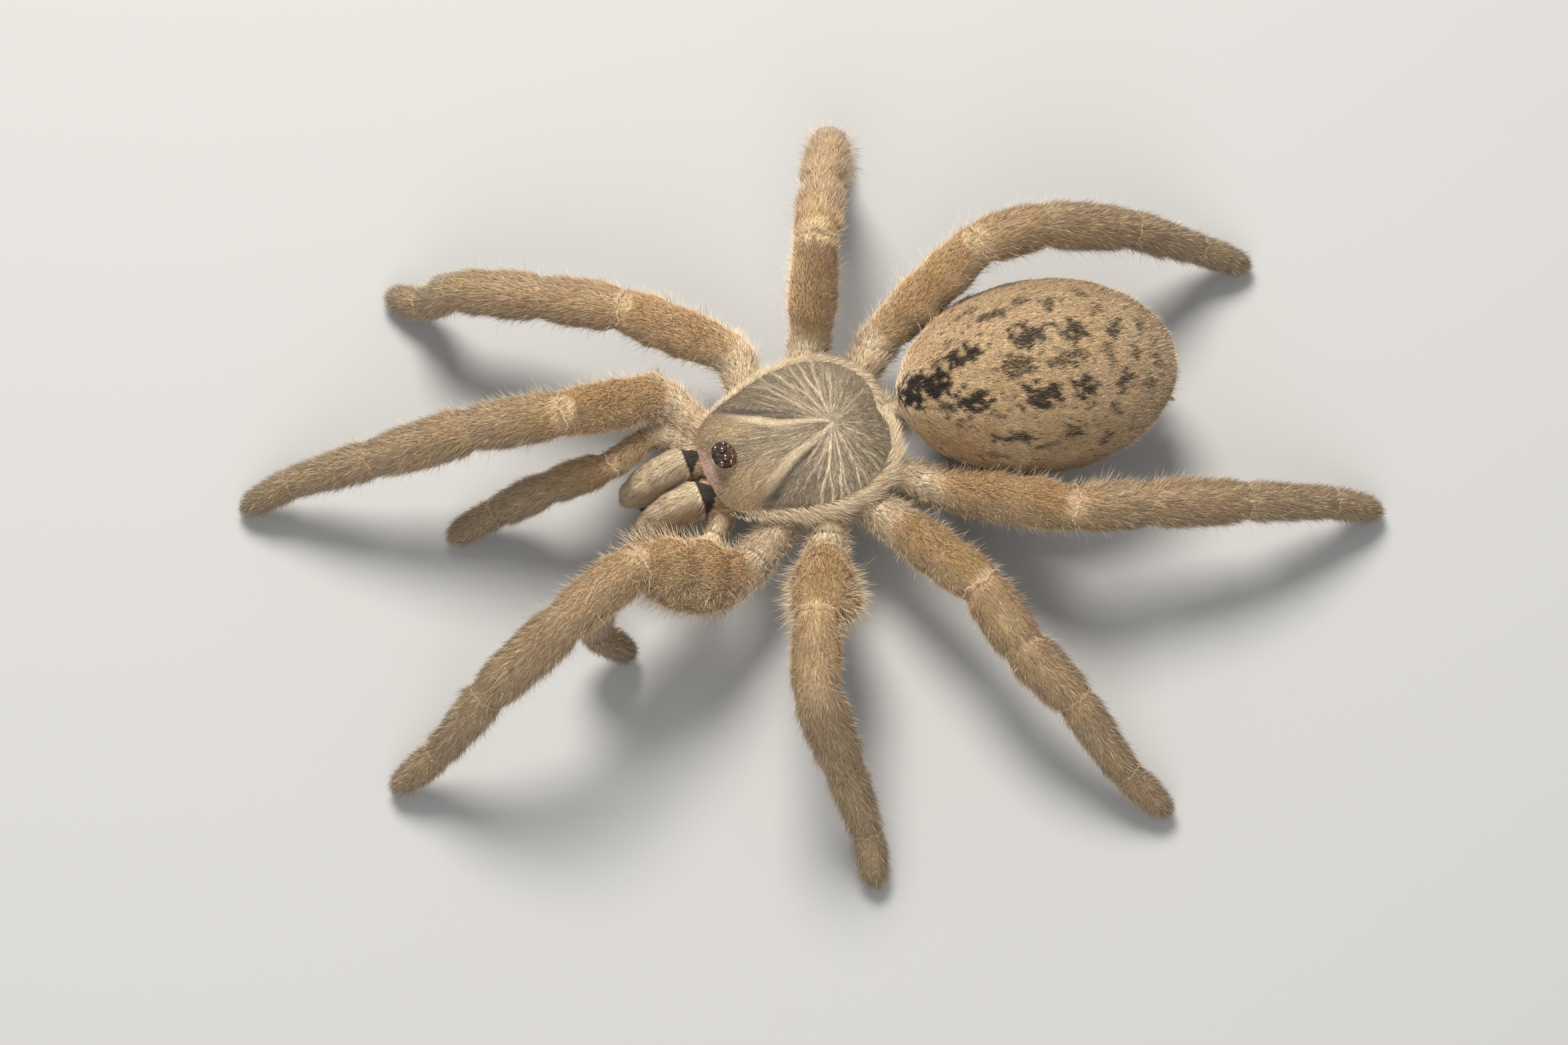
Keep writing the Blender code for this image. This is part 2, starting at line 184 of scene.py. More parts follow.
def limb_runs(limb):
    """Coxa and segments of one limb from the body outwards."""
    segments = limb_segments(limb)
    nodes = ["prosoma"] + [f"{limb}_{segment}" for segment in segments]
    joints = [joint_between(a, b) for a, b in zip(nodes, nodes[1:])]
    joints.append(far_end(nodes[-1], joints[-1]))
    hip = joints[0]
    swing = np.array(COXA_SWINGS.get(limb, (0.0, 0.0))) * MM
    root = np.append(DATUM[:2] + (hip - DATUM)[:2] * COXA_REACH + swing, COXA_HEIGHT)
    prefix = "palp_" if limb in PALPS else ""
    ends = PALP_COXA_GIRTHS if prefix else COXA_GIRTHS
    runs = [Run(limb, prefix + "coxa", root, hip, np.interp(GIRTH_SHARES, (0, 1), ends))]
    for i, segment in enumerate(segments):
        start, end = joints[i], joints[i + 1]
        runs.append(Run(limb, prefix + segment, start, end, girths(nodes[i + 1], start, end)))
    return runs


def body_runs():
    """Abdomen, chelicerae, spinnerets, pedicel and sternum."""
    runs = []
    named = [("abdomen", "abdomen", (0, 1, 0)), ("pedicel", "pedicel", (0, 1, 0))]
    named += [(f"chelicera_{side}", "chelicera", (0, -1, 0)) for side in SIDES]
    named += [(f"spinneret_{side}", "spinneret", (0, 1, 0)) for side in SIDES]
    for node, kind, towards in named:
        start, end = long_axis(node, towards)
        runs.append(Run(node, kind, start, end, girths(node, start, end)))
    start, end, radius = STERNUM
    runs.append(Run("prosoma", "sternum", spot(*start), spot(*end), np.full(13, radius * MM)))
    return runs


RUNS = [run for limb in LIMBS for run in limb_runs(limb)] + body_runs()
PARTS = [run.part for run in RUNS]
STARTS = np.array([run.start for run in RUNS])
AXES = np.array([run.end - run.start for run in RUNS])
LENGTHS = np.linalg.norm(AXES, axis=1)
WAYS = AXES / LENGTHS[:, None]
GIRTHS = np.array([run.girths for run in RUNS])
PART_OF = np.array([PARTS.index(part) for part in PARTS])
TOPS = unit(UP - WAYS[:, 2:3] * WAYS)
LEFTS = np.cross(TOPS, WAYS)

# Sizes of the fur, in millimetres and degrees. Depth is how far the skin lies inside the solid, crowd
# is tufts to a square millimetre, and warm and grey are the tones at the start and end of a run.
Fur = namedtuple("Fur", "depth length rise crowd girth stray warm grey")
FURS = {
    "coxa": Fur(0.45, 1.15, 17, 34, 0.028, 15, (0.0, 0.05), (0.5, 0.3)),
    "femur": Fur(0.5, 1.0, 15, 50, 0.027, 9, (0.7, 0.8), (0.0, 0.0)),
    "patella": Fur(0.55, 1.25, 16, 40, 0.028, 10, (0.3, 0.2), (0.0, 0.05)),
    "tibia": Fur(0.58, 1.4, 16, 39, 0.028, 10, (0.2, 0.12), (0.05, 0.15)),
    "metatarsus": Fur(0.55, 1.3, 18, 41, 0.027, 11, (0.12, 0.1), (0.2, 0.45)),
    "tarsus": Fur(0.5, 0.95, 26, 52, 0.027, 14, (0.3, 0.1), (0.3, 0.85)),
    "palp_coxa": Fur(0.4, 0.9, 16, 34, 0.027, 14, (0.0, 0.05), (0.45, 0.4)),
    "palp_femur": Fur(0.42, 0.9, 16, 48, 0.027, 10, (0.3, 0.5), (0.2, 0.0)),
    "palp_patella": Fur(0.48, 1.1, 17, 46, 0.028, 11, (0.3, 0.2), (0.0, 0.15)),
    "palp_tibia": Fur(0.48, 1.15, 18, 46, 0.028, 11, (0.15, 0.1), (0.2, 0.5)),
    "palp_tarsus": Fur(0.45, 0.95, 24, 50, 0.027, 14, (0.15, 0.1), (0.5, 0.9)),
    "chelicera": Fur(0.2, 0.85, 6, 70, 0.022, 4, (0.1, 0.05), (0.15, 0.05)),
    "abdomen": Fur(0.32, 0.56, 13, 48, 0.026, 12, (0.2, 0.1), (0.0, 0.0)),
    "pedicel": Fur(0.25, 2.1, 48, 90, 0.022, 28, (0.1, 0.1), (0.4, 0.4)),
    "spinneret": Fur(0.15, 0.5, 22, 46, 0.028, 12, (0.3, 0.3), (0.2, 0.2)),
    "sternum": Fur(0.5, 1.1, 30, 16, 0.045, 18, (0.2, 0.2), (0.2, 0.2)),
}
RUN_FURS = [FURS[run.kind] for run in RUNS]
RUN_KINDS = np.array([run.kind for run in RUNS])
BLEND_REACH = 0.5 * MM
CHUNK = 40000

Lie = namedtuple("Lie", "run share angle way")


def lie_at(points):
    """Nearest run to each point, the share along it, the angle round it and the way the hair lies."""
    found = [lie_of_chunk(points[i:i + CHUNK]) for i in range(0, len(points), CHUNK)]
    return Lie(*(np.concatenate(rows) for rows in zip(*found)))


def lie_of_chunk(points):
    offset = points[:, None] - STARTS[None]
    raw = np.einsum("prc,rc->pr", offset, AXES) / LENGTHS**2
    share = raw.clip(0.0, 1.0)
    away = np.linalg.norm(offset - share[..., None] * AXES, axis=2)
    place = share * (len(GIRTH_SHARES) - 1)
    low = np.minimum(place.astype(int), len(GIRTH_SHARES) - 2)
    rows = np.arange(len(RUNS))
    girth = GIRTHS[rows, low] + (GIRTHS[rows, low + 1] - GIRTHS[rows, low]) * (place - low)
    depth = away - girth
    best = depth.argmin(1)
    row = np.arange(len(points))
    same = PART_OF[best][:, None] == PART_OF[None]
    weight = np.exp(-(depth - depth[row, best][:, None]) / BLEND_REACH) * same
    from_line = offset[row, best] - share[row, best][:, None] * AXES[best]
    across = (from_line * LEFTS[best]).sum(1)
    above = (from_line * TOPS[best]).sum(1)
    return best, share[row, best], np.arctan2(across, above), unit(weight @ WAYS)


def from_start(lie):
    """Millimetres along its run to each point."""
    return lie.share * LENGTHS[lie.run] / MM


def to_end(lie):
    """Millimetres along its run that lie past each point."""
    return (1 - lie.share) * LENGTHS[lie.run] / MM


def of_kind(lie, *kinds):
    """True where the nearest run is of one of the kinds."""
    return np.isin(RUN_KINDS[lie.run], kinds)


def pick(rows, chosen):
    """The chosen entries of every row of a named tuple of arrays."""
    return type(rows)(*(pick(row, chosen) if isinstance(row, tuple) else row[chosen] for row in rows))


def runs_of(*kinds):
    return [run for run in RUNS if run.kind in kinds]


def per_run(field):
    return np.array([getattr(fur, field) for fur in RUN_FURS])


def tone(lie, field):
    """Tone of the fur, which changes evenly from the start to the end of a run."""
    ends = per_run(field)[lie.run]
    return ends[:, 0] + (ends[:, 1] - ends[:, 0]) * lie.share


# Waves in a ripple, and the sum that counts as its peak. The same for the streaks of the carapace.
RIPPLE = (10, 3.2)
FAN_RIPPLE = (14, 3.7)


def ripple(points, size, seed):
    """Smooth random field between about -1 and 1, whose swells are about the size given in mm."""
    rng = np.random.default_rng(seed)
    total = np.zeros(len(points))
    for _ in range(RIPPLE[0]):
        wave = unit(rng.normal(size=3)) * (2 * np.pi / (size * MM * rng.uniform(0.7, 1.6)))
        total += np.sin(points @ wave + rng.uniform(0, 2 * np.pi))
    return total / RIPPLE[1]


# Markings, the same for the skin and for the coat ------------------------
# Degrees that the pattern is rolled about the abdomen's length, and how ragged its patches are.
PATTERN_ROLL = 17.0
RAGGED = 0.42
# Each patch of dark hair on the abdomen: millimetres behind its middle, degrees either side of the
# pattern's midline, half length and half width in millimetres, and strength. Zero degrees is one patch.
PATCHES = (
    (-12.3, 9, 1.3, 1.1, 1.0), (-10.4, 4, 1.5, 1.1, 1.0), (-7.3, 21, 1.6, 1.0, 0.95),
    (-1.0, 22, 1.7, 1.15, 0.85), (-2.9, 0, 1.9, 1.1, 0.62), (2.2, 0, 1.7, 0.9, 0.58),
    (3.4, 22, 1.05, 1.1, 0.85), (7.2, 23, 0.65, 0.9, 0.75), (6.0, 39, 0.6, 0.6, 0.45),
    (-3.9, 47, 1.5, 0.55, 0.75), (1.5, 47, 0.9, 0.75, 0.7), (-1.0, 54, 0.9, 0.5, 0.45),
    (4.8, 58, 0.6, 0.6, 0.55), (8.8, 3, 0.45, 0.7, 0.55), (-6.2, 62, 1.0, 0.4, 0.45),
    (9.9, 31, 0.45, 0.7, 0.5), (6.2, 5, 0.4, 0.9, 0.5), (-5.2, 33, 0.4, 0.3, 0.3),
    (-9.6, 26, 0.8, 0.6, 0.6), (-8.6, 38, 0.6, 0.4, 0.4), (10.9, 12, 0.4, 0.6, 0.4),
)
Marks = namedtuple("Marks", "dark pale warm grey")


def patch_cover(points, lie):
    """How far into a patch of dark hair each point of the abdomen lies, from 0 to 1."""
    run = RUN_KINDS.tolist().index("abdomen")
    along = (lie.share - 0.5) * LENGTHS[run] / MM
    angle = -np.degrees(lie.angle) - PATTERN_ROLL
    middle = STARTS[run] + AXES[run] / 2
    radius = np.linalg.norm(points - middle - (along * MM)[:, None] * WAYS[run], axis=1) / MM
    cover = np.zeros(len(points))
    ragged = RAGGED * (ripple(points, 1.1, 5) + 0.7 * ripple(points, 0.5, 6))
    for place, turn, half_length, half_width, strength in PATCHES:
        for side in (1, -1) if turn else (1,):
            lean = np.radians((angle - side * turn + 180) % 360 - 180)
            reach = np.hypot((along - place) / half_length, lean * radius / half_width)
            cover = np.maximum(cover, strength * np.clip(2.2 * (1.25 - reach - ragged), 0, 1))
    return cover


# Millimetres from the end of a coxa to the hinge of its trochanter.
TROCHANTER = 2.0
COXAE = ("coxa", "palp_coxa")
THIGHS = ("femur", "palp_femur")
# In front of this the jaws are furred. Behind it they are bare and painted near-black, as painted shadow of
# the gap under the front edge of the carapace.
JAW_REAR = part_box("chelicera_left")[1][1] - 0.5 * MM


def marks_at(points, lie):
    """Dark, pale, warm and grey shares of the fur's colour at each point."""
    warm = tone(lie, "warm") + 0.12 * ripple(points, 5.0, 11)
    grey = tone(lie, "grey") + 0.08 * ripple(points, 4.0, 12)
    dark = np.zeros(len(points))
    pale = np.zeros(len(points))
    on_abdomen = of_kind(lie, "abdomen")
    if on_abdomen.any():
        some = pick(lie, on_abdomen)
        dark[on_abdomen] = patch_cover(points[on_abdomen], some)
        front_low = (some.share < 0.3) & (some.angle < -0.9)
        warm[on_abdomen] += 0.35 * front_low
    start, end = from_start(lie), to_end(lie)
    limb = ~of_kind(lie, "abdomen", "sternum", "pedicel", "spinneret", "chelicera")
    coxal, thigh = of_kind(lie, *COXAE), of_kind(lie, *THIGHS)
    flank = np.sin(lie.angle) ** 2
    joint = bell(np.minimum(end, start), 0.35)
    pale += 0.12 * joint * limb + coxal * (0.34 + 0.2 * bell(end, 1.2))
    jaw = of_kind(lie, "chelicera")
    pale += 0.62 * jaw + 0.6 * of_kind(lie, "pedicel")
    pale += 0.5 * on_abdomen * bell(start, 1.6)
    # Painted shadow: the bare rear ends of the jaws are near-black, for the gap under the carapace's front
    # edge.
    dark = np.maximum(dark, 0.97 * jaw * (points[:, 1] > JAW_REAR))
    hinge = np.abs(end - TROCHANTER) / 0.16
    dark = np.maximum(dark, 0.75 * coxal * bell(hinge, 1))
    pale += 0.5 * coxal * bell(hinge - 2.3, 1)
    pale += thigh * (0.35 * bell(start, 1.4) + 0.14 * flank)
    warm -= 0.3 * thigh * flank
    dark += 0.03 * thigh * bell(np.abs(lie.angle) - 0.1, 0.35) * bell(start - 4.5, 3.5)
    return Marks(*(row.clip(0, 1) for row in (dark, pale, warm, grey)))


# Small tools ------------------------
MERGE_REACH = 0.002 * MM


def deselect_all():
    for obj in bpy.context.selected_objects:
        obj.select_set(False)


def select_only(*objects):
    deselect_all()
    for obj in objects:
        obj.select_set(True)
    bpy.context.view_layer.objects.active = objects[0]


@contextmanager
def editing(obj):
    """Edit mode on one object with all of its mesh selected."""
    select_only(obj)
    bpy.ops.object.mode_set(mode="EDIT")
    bpy.ops.mesh.select_all(action="SELECT")
    yield
    bpy.ops.object.mode_set(mode="OBJECT")


def face_outwards():
    """Turns all faces of the mesh in edit mode to point out."""
    bpy.ops.mesh.select_all(action="SELECT")
    bpy.ops.mesh.normals_make_consistent(inside=False)


def apply_modifier(obj, kind, **settings):
    """Adds a modifier with its settings and applies it."""
    select_only(obj)
    modifier = obj.modifiers.new(kind.title(), kind)
    for name, value in settings.items():
        setattr(modifier, name, value)
    bpy.ops.object.modifier_apply(modifier=modifier.name)


def new_object(name, mesh):
    obj = bpy.data.objects.new(name, mesh)
    bpy.context.scene.collection.objects.link(obj)
    return obj


def join(objects, name):
    select_only(*objects)
    bpy.ops.object.join()
    obj = bpy.context.view_layer.objects.active
    obj.name = name
    obj.data.name = name
    return obj


def copy_of_node(node, name):
    """Merged copy of a CAD node's mesh."""
    obj = new_object(name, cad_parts[node].data.copy())
    obj.data.materials.clear()
    with editing(obj):
        bpy.ops.mesh.remove_doubles(threshold=MERGE_REACH)
    return obj


def flat(points):
    return np.ascontiguousarray(points, np.float32).ravel()


def ray_tree(mesh):
    """Tree that finds where a ray meets a mesh."""
    return BVHTree.FromPolygons(coordinates(mesh).tolist(), [face.vertices[:] for face in mesh.polygons])


def dropped_on(mesh, points):
    """Height at which each point lands on a mesh from over the carapace, or None where it misses."""
    tree = ray_tree(mesh)
    top = SHELL_HIGH[2] + MM
    hits = [tree.ray_cast(Vector((x, y, top)), Vector((0, 0, -1)))[0] for x, y, _ in points]
    return [hit[2] if hit else None for hit in hits]


def place_vertices(mesh, points):
    mesh.vertices.foreach_set("co", flat(points))
    mesh.update()


def paint(mesh, name, channels):
    """Stores up to three shares for each vertex as a colour attribute."""
    colours = np.ones((len(mesh.vertices), 4), np.float32)
    for i, channel in enumerate(channels):
        colours[:, i] = channel
    mesh.color_attributes.new(name, "FLOAT_COLOR", "POINT").data.foreach_set("color", colours.ravel())


def paint_marks(mesh, marks, tip, shade):
    """Paints the markings, the share along a hair and its shade, as on a tuft."""
    paint(mesh, "mark", (marks.dark, marks.pale, marks.warm))
    paint(mesh, "strand", (tip, shade, marks.grey))


def store_vectors(mesh, name, *columns):
    """Stores a vector for each vertex as an attribute."""
    layer = mesh.attributes.new(name, "FLOAT_VECTOR", "POINT")
    layer.data.foreach_set("vector", flat(np.stack(columns, 1)))


def finish_piece(obj, material, slot, *replaced):
    """Gives a piece its finish and ties it to the body."""
    obj.data.materials.clear()
    obj.data.materials.append(material)
    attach(obj, BODY)
    if replaced:
        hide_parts(*replaced)


def piece_named(name):
    obj = bpy.data.objects.get(name)
    if obj is None:
        raise RuntimeError(f"make the {name} first")
    return obj


# Colours and materials ------------------------
def tint(code):
    """Linear colour of a six-figure code."""
    values = [int(code[i:i + 2], 16) / 255 for i in (0, 2, 4)]
    return tuple(v / 12.92 if v <= 0.04045 else ((v + 0.055) / 1.055) ** 2.4 for v in values)


def colour_property(name, description, code):
    return FloatVectorProperty(
        name=name, description=description, subtype="COLOR", size=3, min=0, max=1, default=tint(code)
    )


def share_property(name, description, default=1.0):
    return FloatProperty(name=name, description=description, default=default, subtype="FACTOR")


def unit_property(name, description, default, kind="LENGTH"):
    return FloatProperty(name=name, description=description, default=default, unit=kind)


def opaque(colour):
    return (*colour, 1.0)


def node(tree, kind, sockets=(), **settings):
    """Adds a shader node. A socket takes a value, or the output that it is linked to."""
    made = tree.nodes.new(kind)
    for name, value in settings.items():
        setattr(made, name, value)
    for socket, value in dict(sockets).items():
        if isinstance(value, bpy.types.NodeSocket):
            tree.links.new(value, made.inputs[socket])
        else:
            made.inputs[socket].default_value = value
    return made


def mix(tree, factor, first, second, blend="MIX"):
    sockets = {0: factor, 6: first, 7: second}
    return node(tree, "ShaderNodeMix", sockets, data_type="RGBA", blend_type=blend).outputs[2]


def scaled(tree, value, low, high, span=(0.0, 1.0)):
    """Maps the span of a value onto the two values."""
    sockets = {"Value": value, "From Min": span[0], "From Max": span[1], "To Min": low, "To Max": high}
    return node(tree, "ShaderNodeMapRange", sockets).outputs["Result"]


def channels(tree, name):
    """The three channels of a painted attribute."""
    read = node(tree, "ShaderNodeAttribute", attribute_name=name)
    return node(tree, "ShaderNodeSeparateColor", {"Color": read.outputs["Color"]}).outputs


def start_material(name):
    material = bpy.data.materials.new(name)
    material.use_nodes = True
    return material, material.node_tree, material.node_tree.nodes["Principled BSDF"]


def set_gloss(shader, **values):
    """Sets constants on the shader's own sockets."""
    for name, value in values.items():
        shader.inputs[name.replace("_", " ")].default_value = value


def varied_value(tree, colour, value):
    """Colour made lighter and darker by the value."""
    return node(tree, "ShaderNodeHueSaturation", {"Color": colour, "Value": value}).outputs["Color"]


def link_look(tree, shader, colour, height=None, strength=0.0, distance=0.0):
    """Links the colour to the shader, and a bump where a height is given."""
    tree.links.new(colour, shader.inputs["Base Color"])
    if height:
        bump = node(tree, "ShaderNodeBump", {"Height": height, "Strength": strength, "Distance": distance})
        tree.links.new(bump.outputs["Normal"], shader.inputs["Normal"])


def attribute_noise(tree, name, detail):
    """Noise that follows a vector stored for each vertex."""
    vector = node(tree, "ShaderNodeAttribute", attribute_name=name).outputs["Vector"]
    sockets = {"Vector": vector, "Scale": 1.0, "Detail": detail}
    return node(tree, "ShaderNodeTexNoise", sockets).outputs["Fac"]


def object_noise(tree, scale, detail=2.0):
    place = node(tree, "ShaderNodeTexCoord").outputs["Object"]
    sockets = {"Vector": place, "Scale": scale, "Detail": detail}
    return node(tree, "ShaderNodeTexNoise", sockets).outputs["Fac"]


def fur_colour(tree, palette, root_share):
    """Colour of fur from its markings, shared by the skin and every tuft."""
    dark, pale, warm = channels(tree, "mark")[:3]
    tip, shade, grey = channels(tree, "strand")[:3]
    along = node(tree, "ShaderNodeMath", {0: tip, 1: root_share}, operation="MULTIPLY").outputs[0]
    colour = mix(tree, along, opaque(palette.root), opaque(palette.tip))
    olive = mix(tree, along, opaque(palette.warm_root), opaque(palette.warm_tip))
    colour = mix(tree, warm, colour, olive)
    ashen = mix(tree, along, opaque(palette.grey_root), opaque(palette.grey_tip))
    colour = mix(tree, grey, colour, ashen)
    colour = mix(tree, pale, colour, opaque(palette.pale))
    colour = mix(tree, dark, colour, opaque(palette.dark))
    drift = object_noise(tree, 260.0)
    value = scaled(tree, shade, 0.62, 1.38)
    cast = scaled(tree, drift, 0.485, 0.515)
    sockets = {"Color": colour, "Value": value, "Hue": cast}
    return node(tree, "ShaderNodeHueSaturation", sockets).outputs["Color"]


def coat_material(name, palette):
    material = bpy.data.materials.get(name)
    if material:
        return material
    material, tree, shader = start_material(name)
    link_look(tree, shader, fur_colour(tree, palette, 1.0))
    set_gloss(shader, Roughness=0.55, Specular_IOR_Level=0.24, Sheen_Weight=0.1, Sheen_Roughness=0.4)
    return material


def skin_material(palette):
    """Skin seen between the tufts: the fur's own markings, painted darker as shade under the coat, over
    fine wrinkles that follow its lie.
    """
    material, tree, shader = start_material("downy_skin")
    streak = attribute_noise(tree, "lie", 3.0)
    colour = fur_colour(tree, palette, 1.0)
    # Streaks that leave the skin a little darker on the whole: painted shade deep in the coat.
    depth = scaled(tree, streak, 0.55, 1.25)
    link_look(tree, shader, varied_value(tree, colour, depth), streak, 0.8, 0.1 * MM)
    set_gloss(shader, Roughness=0.75, Specular_IOR_Level=0.2, Sheen_Weight=0.08, Sheen_Roughness=0.5)
    return material


# Settings ------------------------
class TarantulaSkin(bpy.types.PropertyGroup):
    grain: unit_property("Grain", "Size of the cells that merge the body into one skin", 0.33 * MM)
    pinch: share_property("Joint pinch", "Share of its radius that a limb loses at a joint", 0.13)
    fold: unit_property("Fold height", "Height of the soft folds at the roots of the legs", 0.14 * MM)


class TarantulaCoat(bpy.types.PropertyGroup):
    length: share_property("Length", "Length of the coat against its natural length")
    crowd: share_property("Thickness", "Number of tufts against the natural number")
    bent: share_property("Bent share", "Share of the tufts on the limbs that have a bend in them", 0.0)
    bristle: unit_property("Bristle length", "Length of the longest hairs of the legs", 2.3 * MM)
    root: colour_property("Root", "Colour of a hair near the skin", "9a7c50")
    tip: colour_property("Tip", "Colour of the end of a hair", "f0d3b0")
    warm_root: colour_property("Olive root", "Colour near the skin on the thighs", "8c6a3c")
    warm_tip: colour_property("Olive tip", "Colour of hair ends on the thighs", "dab27c")
    grey_root: colour_property("Ash root", "Colour near the skin on the feet", "72624d")
    grey_tip: colour_property("Ash tip", "Colour of hair ends on the feet", "c2ae90")
    pale: colour_property("Pale", "Colour of bands, fringes and lines", "f3dfbe")
    # The dark colour also paints the shadow on the bare rear ends of the jaws.
    dark: colour_property("Dark", "Colour of the dark hairs of the abdomen", "160d07")


class TarantulaHead(bpy.types.PropertyGroup):
    eye_scale: share_property("Eye size", "Size of the eyes against their natural size")
    lens: colour_property("Eye", "Colour deep in the eyes", "4a2a12")
    mound: colour_property("Eye mound", "Colour of the mound under the eyes", "1e120a")
    amber: colour_property("Amber", "Colour of the rear of the eye mound", "54391f")
    felt: colour_property("Felt", "Colour of the carapace between its lines", "94836a")
    caput: colour_property("Caput", "Colour of the raised front of the carapace", "c8ae86")
    groove: colour_property("Groove", "Colour of the bare furrows of the carapace", "40372c")
    edge: colour_property("Edge", "Colour of the pink front edge of the carapace", "e0b8a8")
    fang: colour_property("Fang", "Colour of the fangs and claws", "150a07")


class TarantulaStage(bpy.types.PropertyGroup):
    floor: colour_property("Floor", "Colour of the floor", "a9a8a5")
    floor_size: unit_property("Floor size", "Side of the square floor", 4.0)
    key_power: unit_property("Main light", "Power of the large soft light", 4.7, "POWER")
    fill_power: unit_property("Fill light", "Power of the light on the shadow side", 1.6, "POWER")
    sky: share_property("Room light", "Strength of the light from all round", 0.41)
    lens: FloatProperty(name="Lens", description="Focal length in millimetres", default=100.0)
    distance: unit_property("Camera distance", "Distance from the camera to its aim", 424 * MM)


# Stage ------------------------
CAMERA_AZIMUTH = 68.0
CAMERA_ELEVATION = 65.0
CAMERA_AIM = (3.6, 0.0, 0.0)
CAMERA_CLIP = 0.01
FLOOR_DROP = 0.02 * MM
# Name, azimuth, elevation, distance and width in metres, and colour of each light.
LIGHTS = (
    ("main_light", 262, 57, 0.55, 0.26, (1.0, 0.975, 0.94)),
    ("fill_light", 62, 42, 0.6, 0.4, (0.96, 0.98, 1.0)),
)
ROOM_COLOUR = (0.95, 0.96, 1.0)


def around(aim, azimuth, elevation, distance):
    """Point at a bearing from the aim. Azimuth 0 is in front of the head and 90 on the left side."""
    azimuth, elevation = math.radians(azimuth), math.radians(elevation)
    level = math.cos(elevation)
    way = Vector((math.sin(azimuth) * level, -math.cos(azimuth) * level, math.sin(elevation)))
    return Vector(aim) + way * distance


def facing(place, aim):
    turn = (Vector(aim) - place).to_track_quat("-Z", "Y").to_matrix().to_4x4()
    return Matrix.Translation(place) @ turn


def add_softbox(aim, power, name, azimuth, elevation, distance, size, colour):
    place = around(aim, azimuth, elevation, distance)
    bpy.ops.object.light_add(type="AREA")
    lamp = bpy.context.object
    lamp.name = name
    lamp.matrix_world = facing(place, aim)
    lamp.data.shape = "DISK"
    lamp.data.size = size
    lamp.data.energy = power
    lamp.data.color = colour


class TARANTULA_OT_stage(bpy.types.Operator):
    """Lay the pale floor, hang the soft lights and set up the camera"""

    bl_idname = "tarantula.stage"
    bl_label = "Stage"

    def execute(self, context):
        settings = context.scene.tarantula_stage
        aim = spot(*CAMERA_AIM)
        self.lay_floor(settings)
        for light, power in zip(LIGHTS, (settings.key_power, settings.fill_power)):
            add_softbox(aim, power, *light)
        self.light_room(context.scene, settings)
        self.set_camera(context.scene, settings, aim)
        return {"FINISHED"}

    def lay_floor(self, settings):
        deselect_all()
        bpy.ops.mesh.primitive_plane_add(size=settings.floor_size, location=(0, 0, -FLOOR_DROP))
        floor = bpy.context.object
        floor.name = "floor"
        bpy.ops.object.transform_apply(location=True)
        material, _, shader = start_material("pale_floor")
        shader.inputs["Base Color"].default_value = opaque(settings.floor)
        set_gloss(shader, Roughness=0.9, Specular_IOR_Level=0.2)
        floor.data.materials.append(material)

    def light_room(self, scene, settings):
        world = bpy.data.worlds.new("room")
        world.use_nodes = True
        background = world.node_tree.nodes["Background"]
        background.inputs["Color"].default_value = opaque(ROOM_COLOUR)
        background.inputs["Strength"].default_value = settings.sky
        scene.world = world
        scene.view_settings.view_transform = "Standard"

    def set_camera(self, scene, settings, aim):
        bpy.ops.object.camera_add()
        camera = bpy.context.object
        place = around(aim, CAMERA_AZIMUTH, CAMERA_ELEVATION, settings.distance)
        camera.matrix_world = facing(place, aim)
        camera.data.lens = settings.lens
        camera.data.clip_start = CAMERA_CLIP
        scene.camera = camera


# Skin ------------------------
SKIN_STEP = 0.5 * MM
TIP_ROUND = ((0.0, 1.0), (0.35, 0.86), (0.6, 0.6), (0.75, 0.2))
LEAST_SOLE = 0.3 * MM
LEAST_GIRTH = 0.35 * MM
FOLD_PERIOD = 0.85
PINCH_REACH = 0.7 * MM
TIP_SPACE = 0.8 * MM
# Centre from the datum and half sizes of two lumps inside the body, in millimetres.
BODY_LUMPS = {
    "sternum_lump": ((0, 1.6, 6.6), (5.6, 8.0, 2.0)),
    "shell_bed": ((0, 2.6, 8.3), (6.6, 8.3, 1.9)),
}
WAIST_RADIUS = 1.0 * MM
JAW_ROOT_RADIUS = 1.45 * MM
# Height of the rear ends of the jaws inside the body, and how far in front of the datum they lie.
JAW_ROOT_HEIGHT = 7.6 * MM
JAW_ROOT_FRONT = 3.5 * MM
LEAST_SPINNER = 0.2 * MM
LUMP_HEIGHT = 0.04 * MM
SEPARATE_NODES = ("carapace", "eyes", "fang_left", "fang_right")


def tube(name, points, radii):
    """Round tube along a line of points, as a mesh."""
    curve = bpy.data.curves.new(name, "CURVE")
    curve.dimensions = "3D"
    curve.bevel_depth = 1.0
    curve.bevel_resolution = 6
    curve.use_fill_caps = True
    spline = curve.splines.new("POLY")
    spline.points.add(len(points) - 1)
    for point, place, radius in zip(spline.points, points, radii):
        point.co = (*place, 1.0)
        point.radius = radius
    obj = new_object(name, curve)
    select_only(obj)
    bpy.ops.object.convert(target="MESH")
    return bpy.context.object


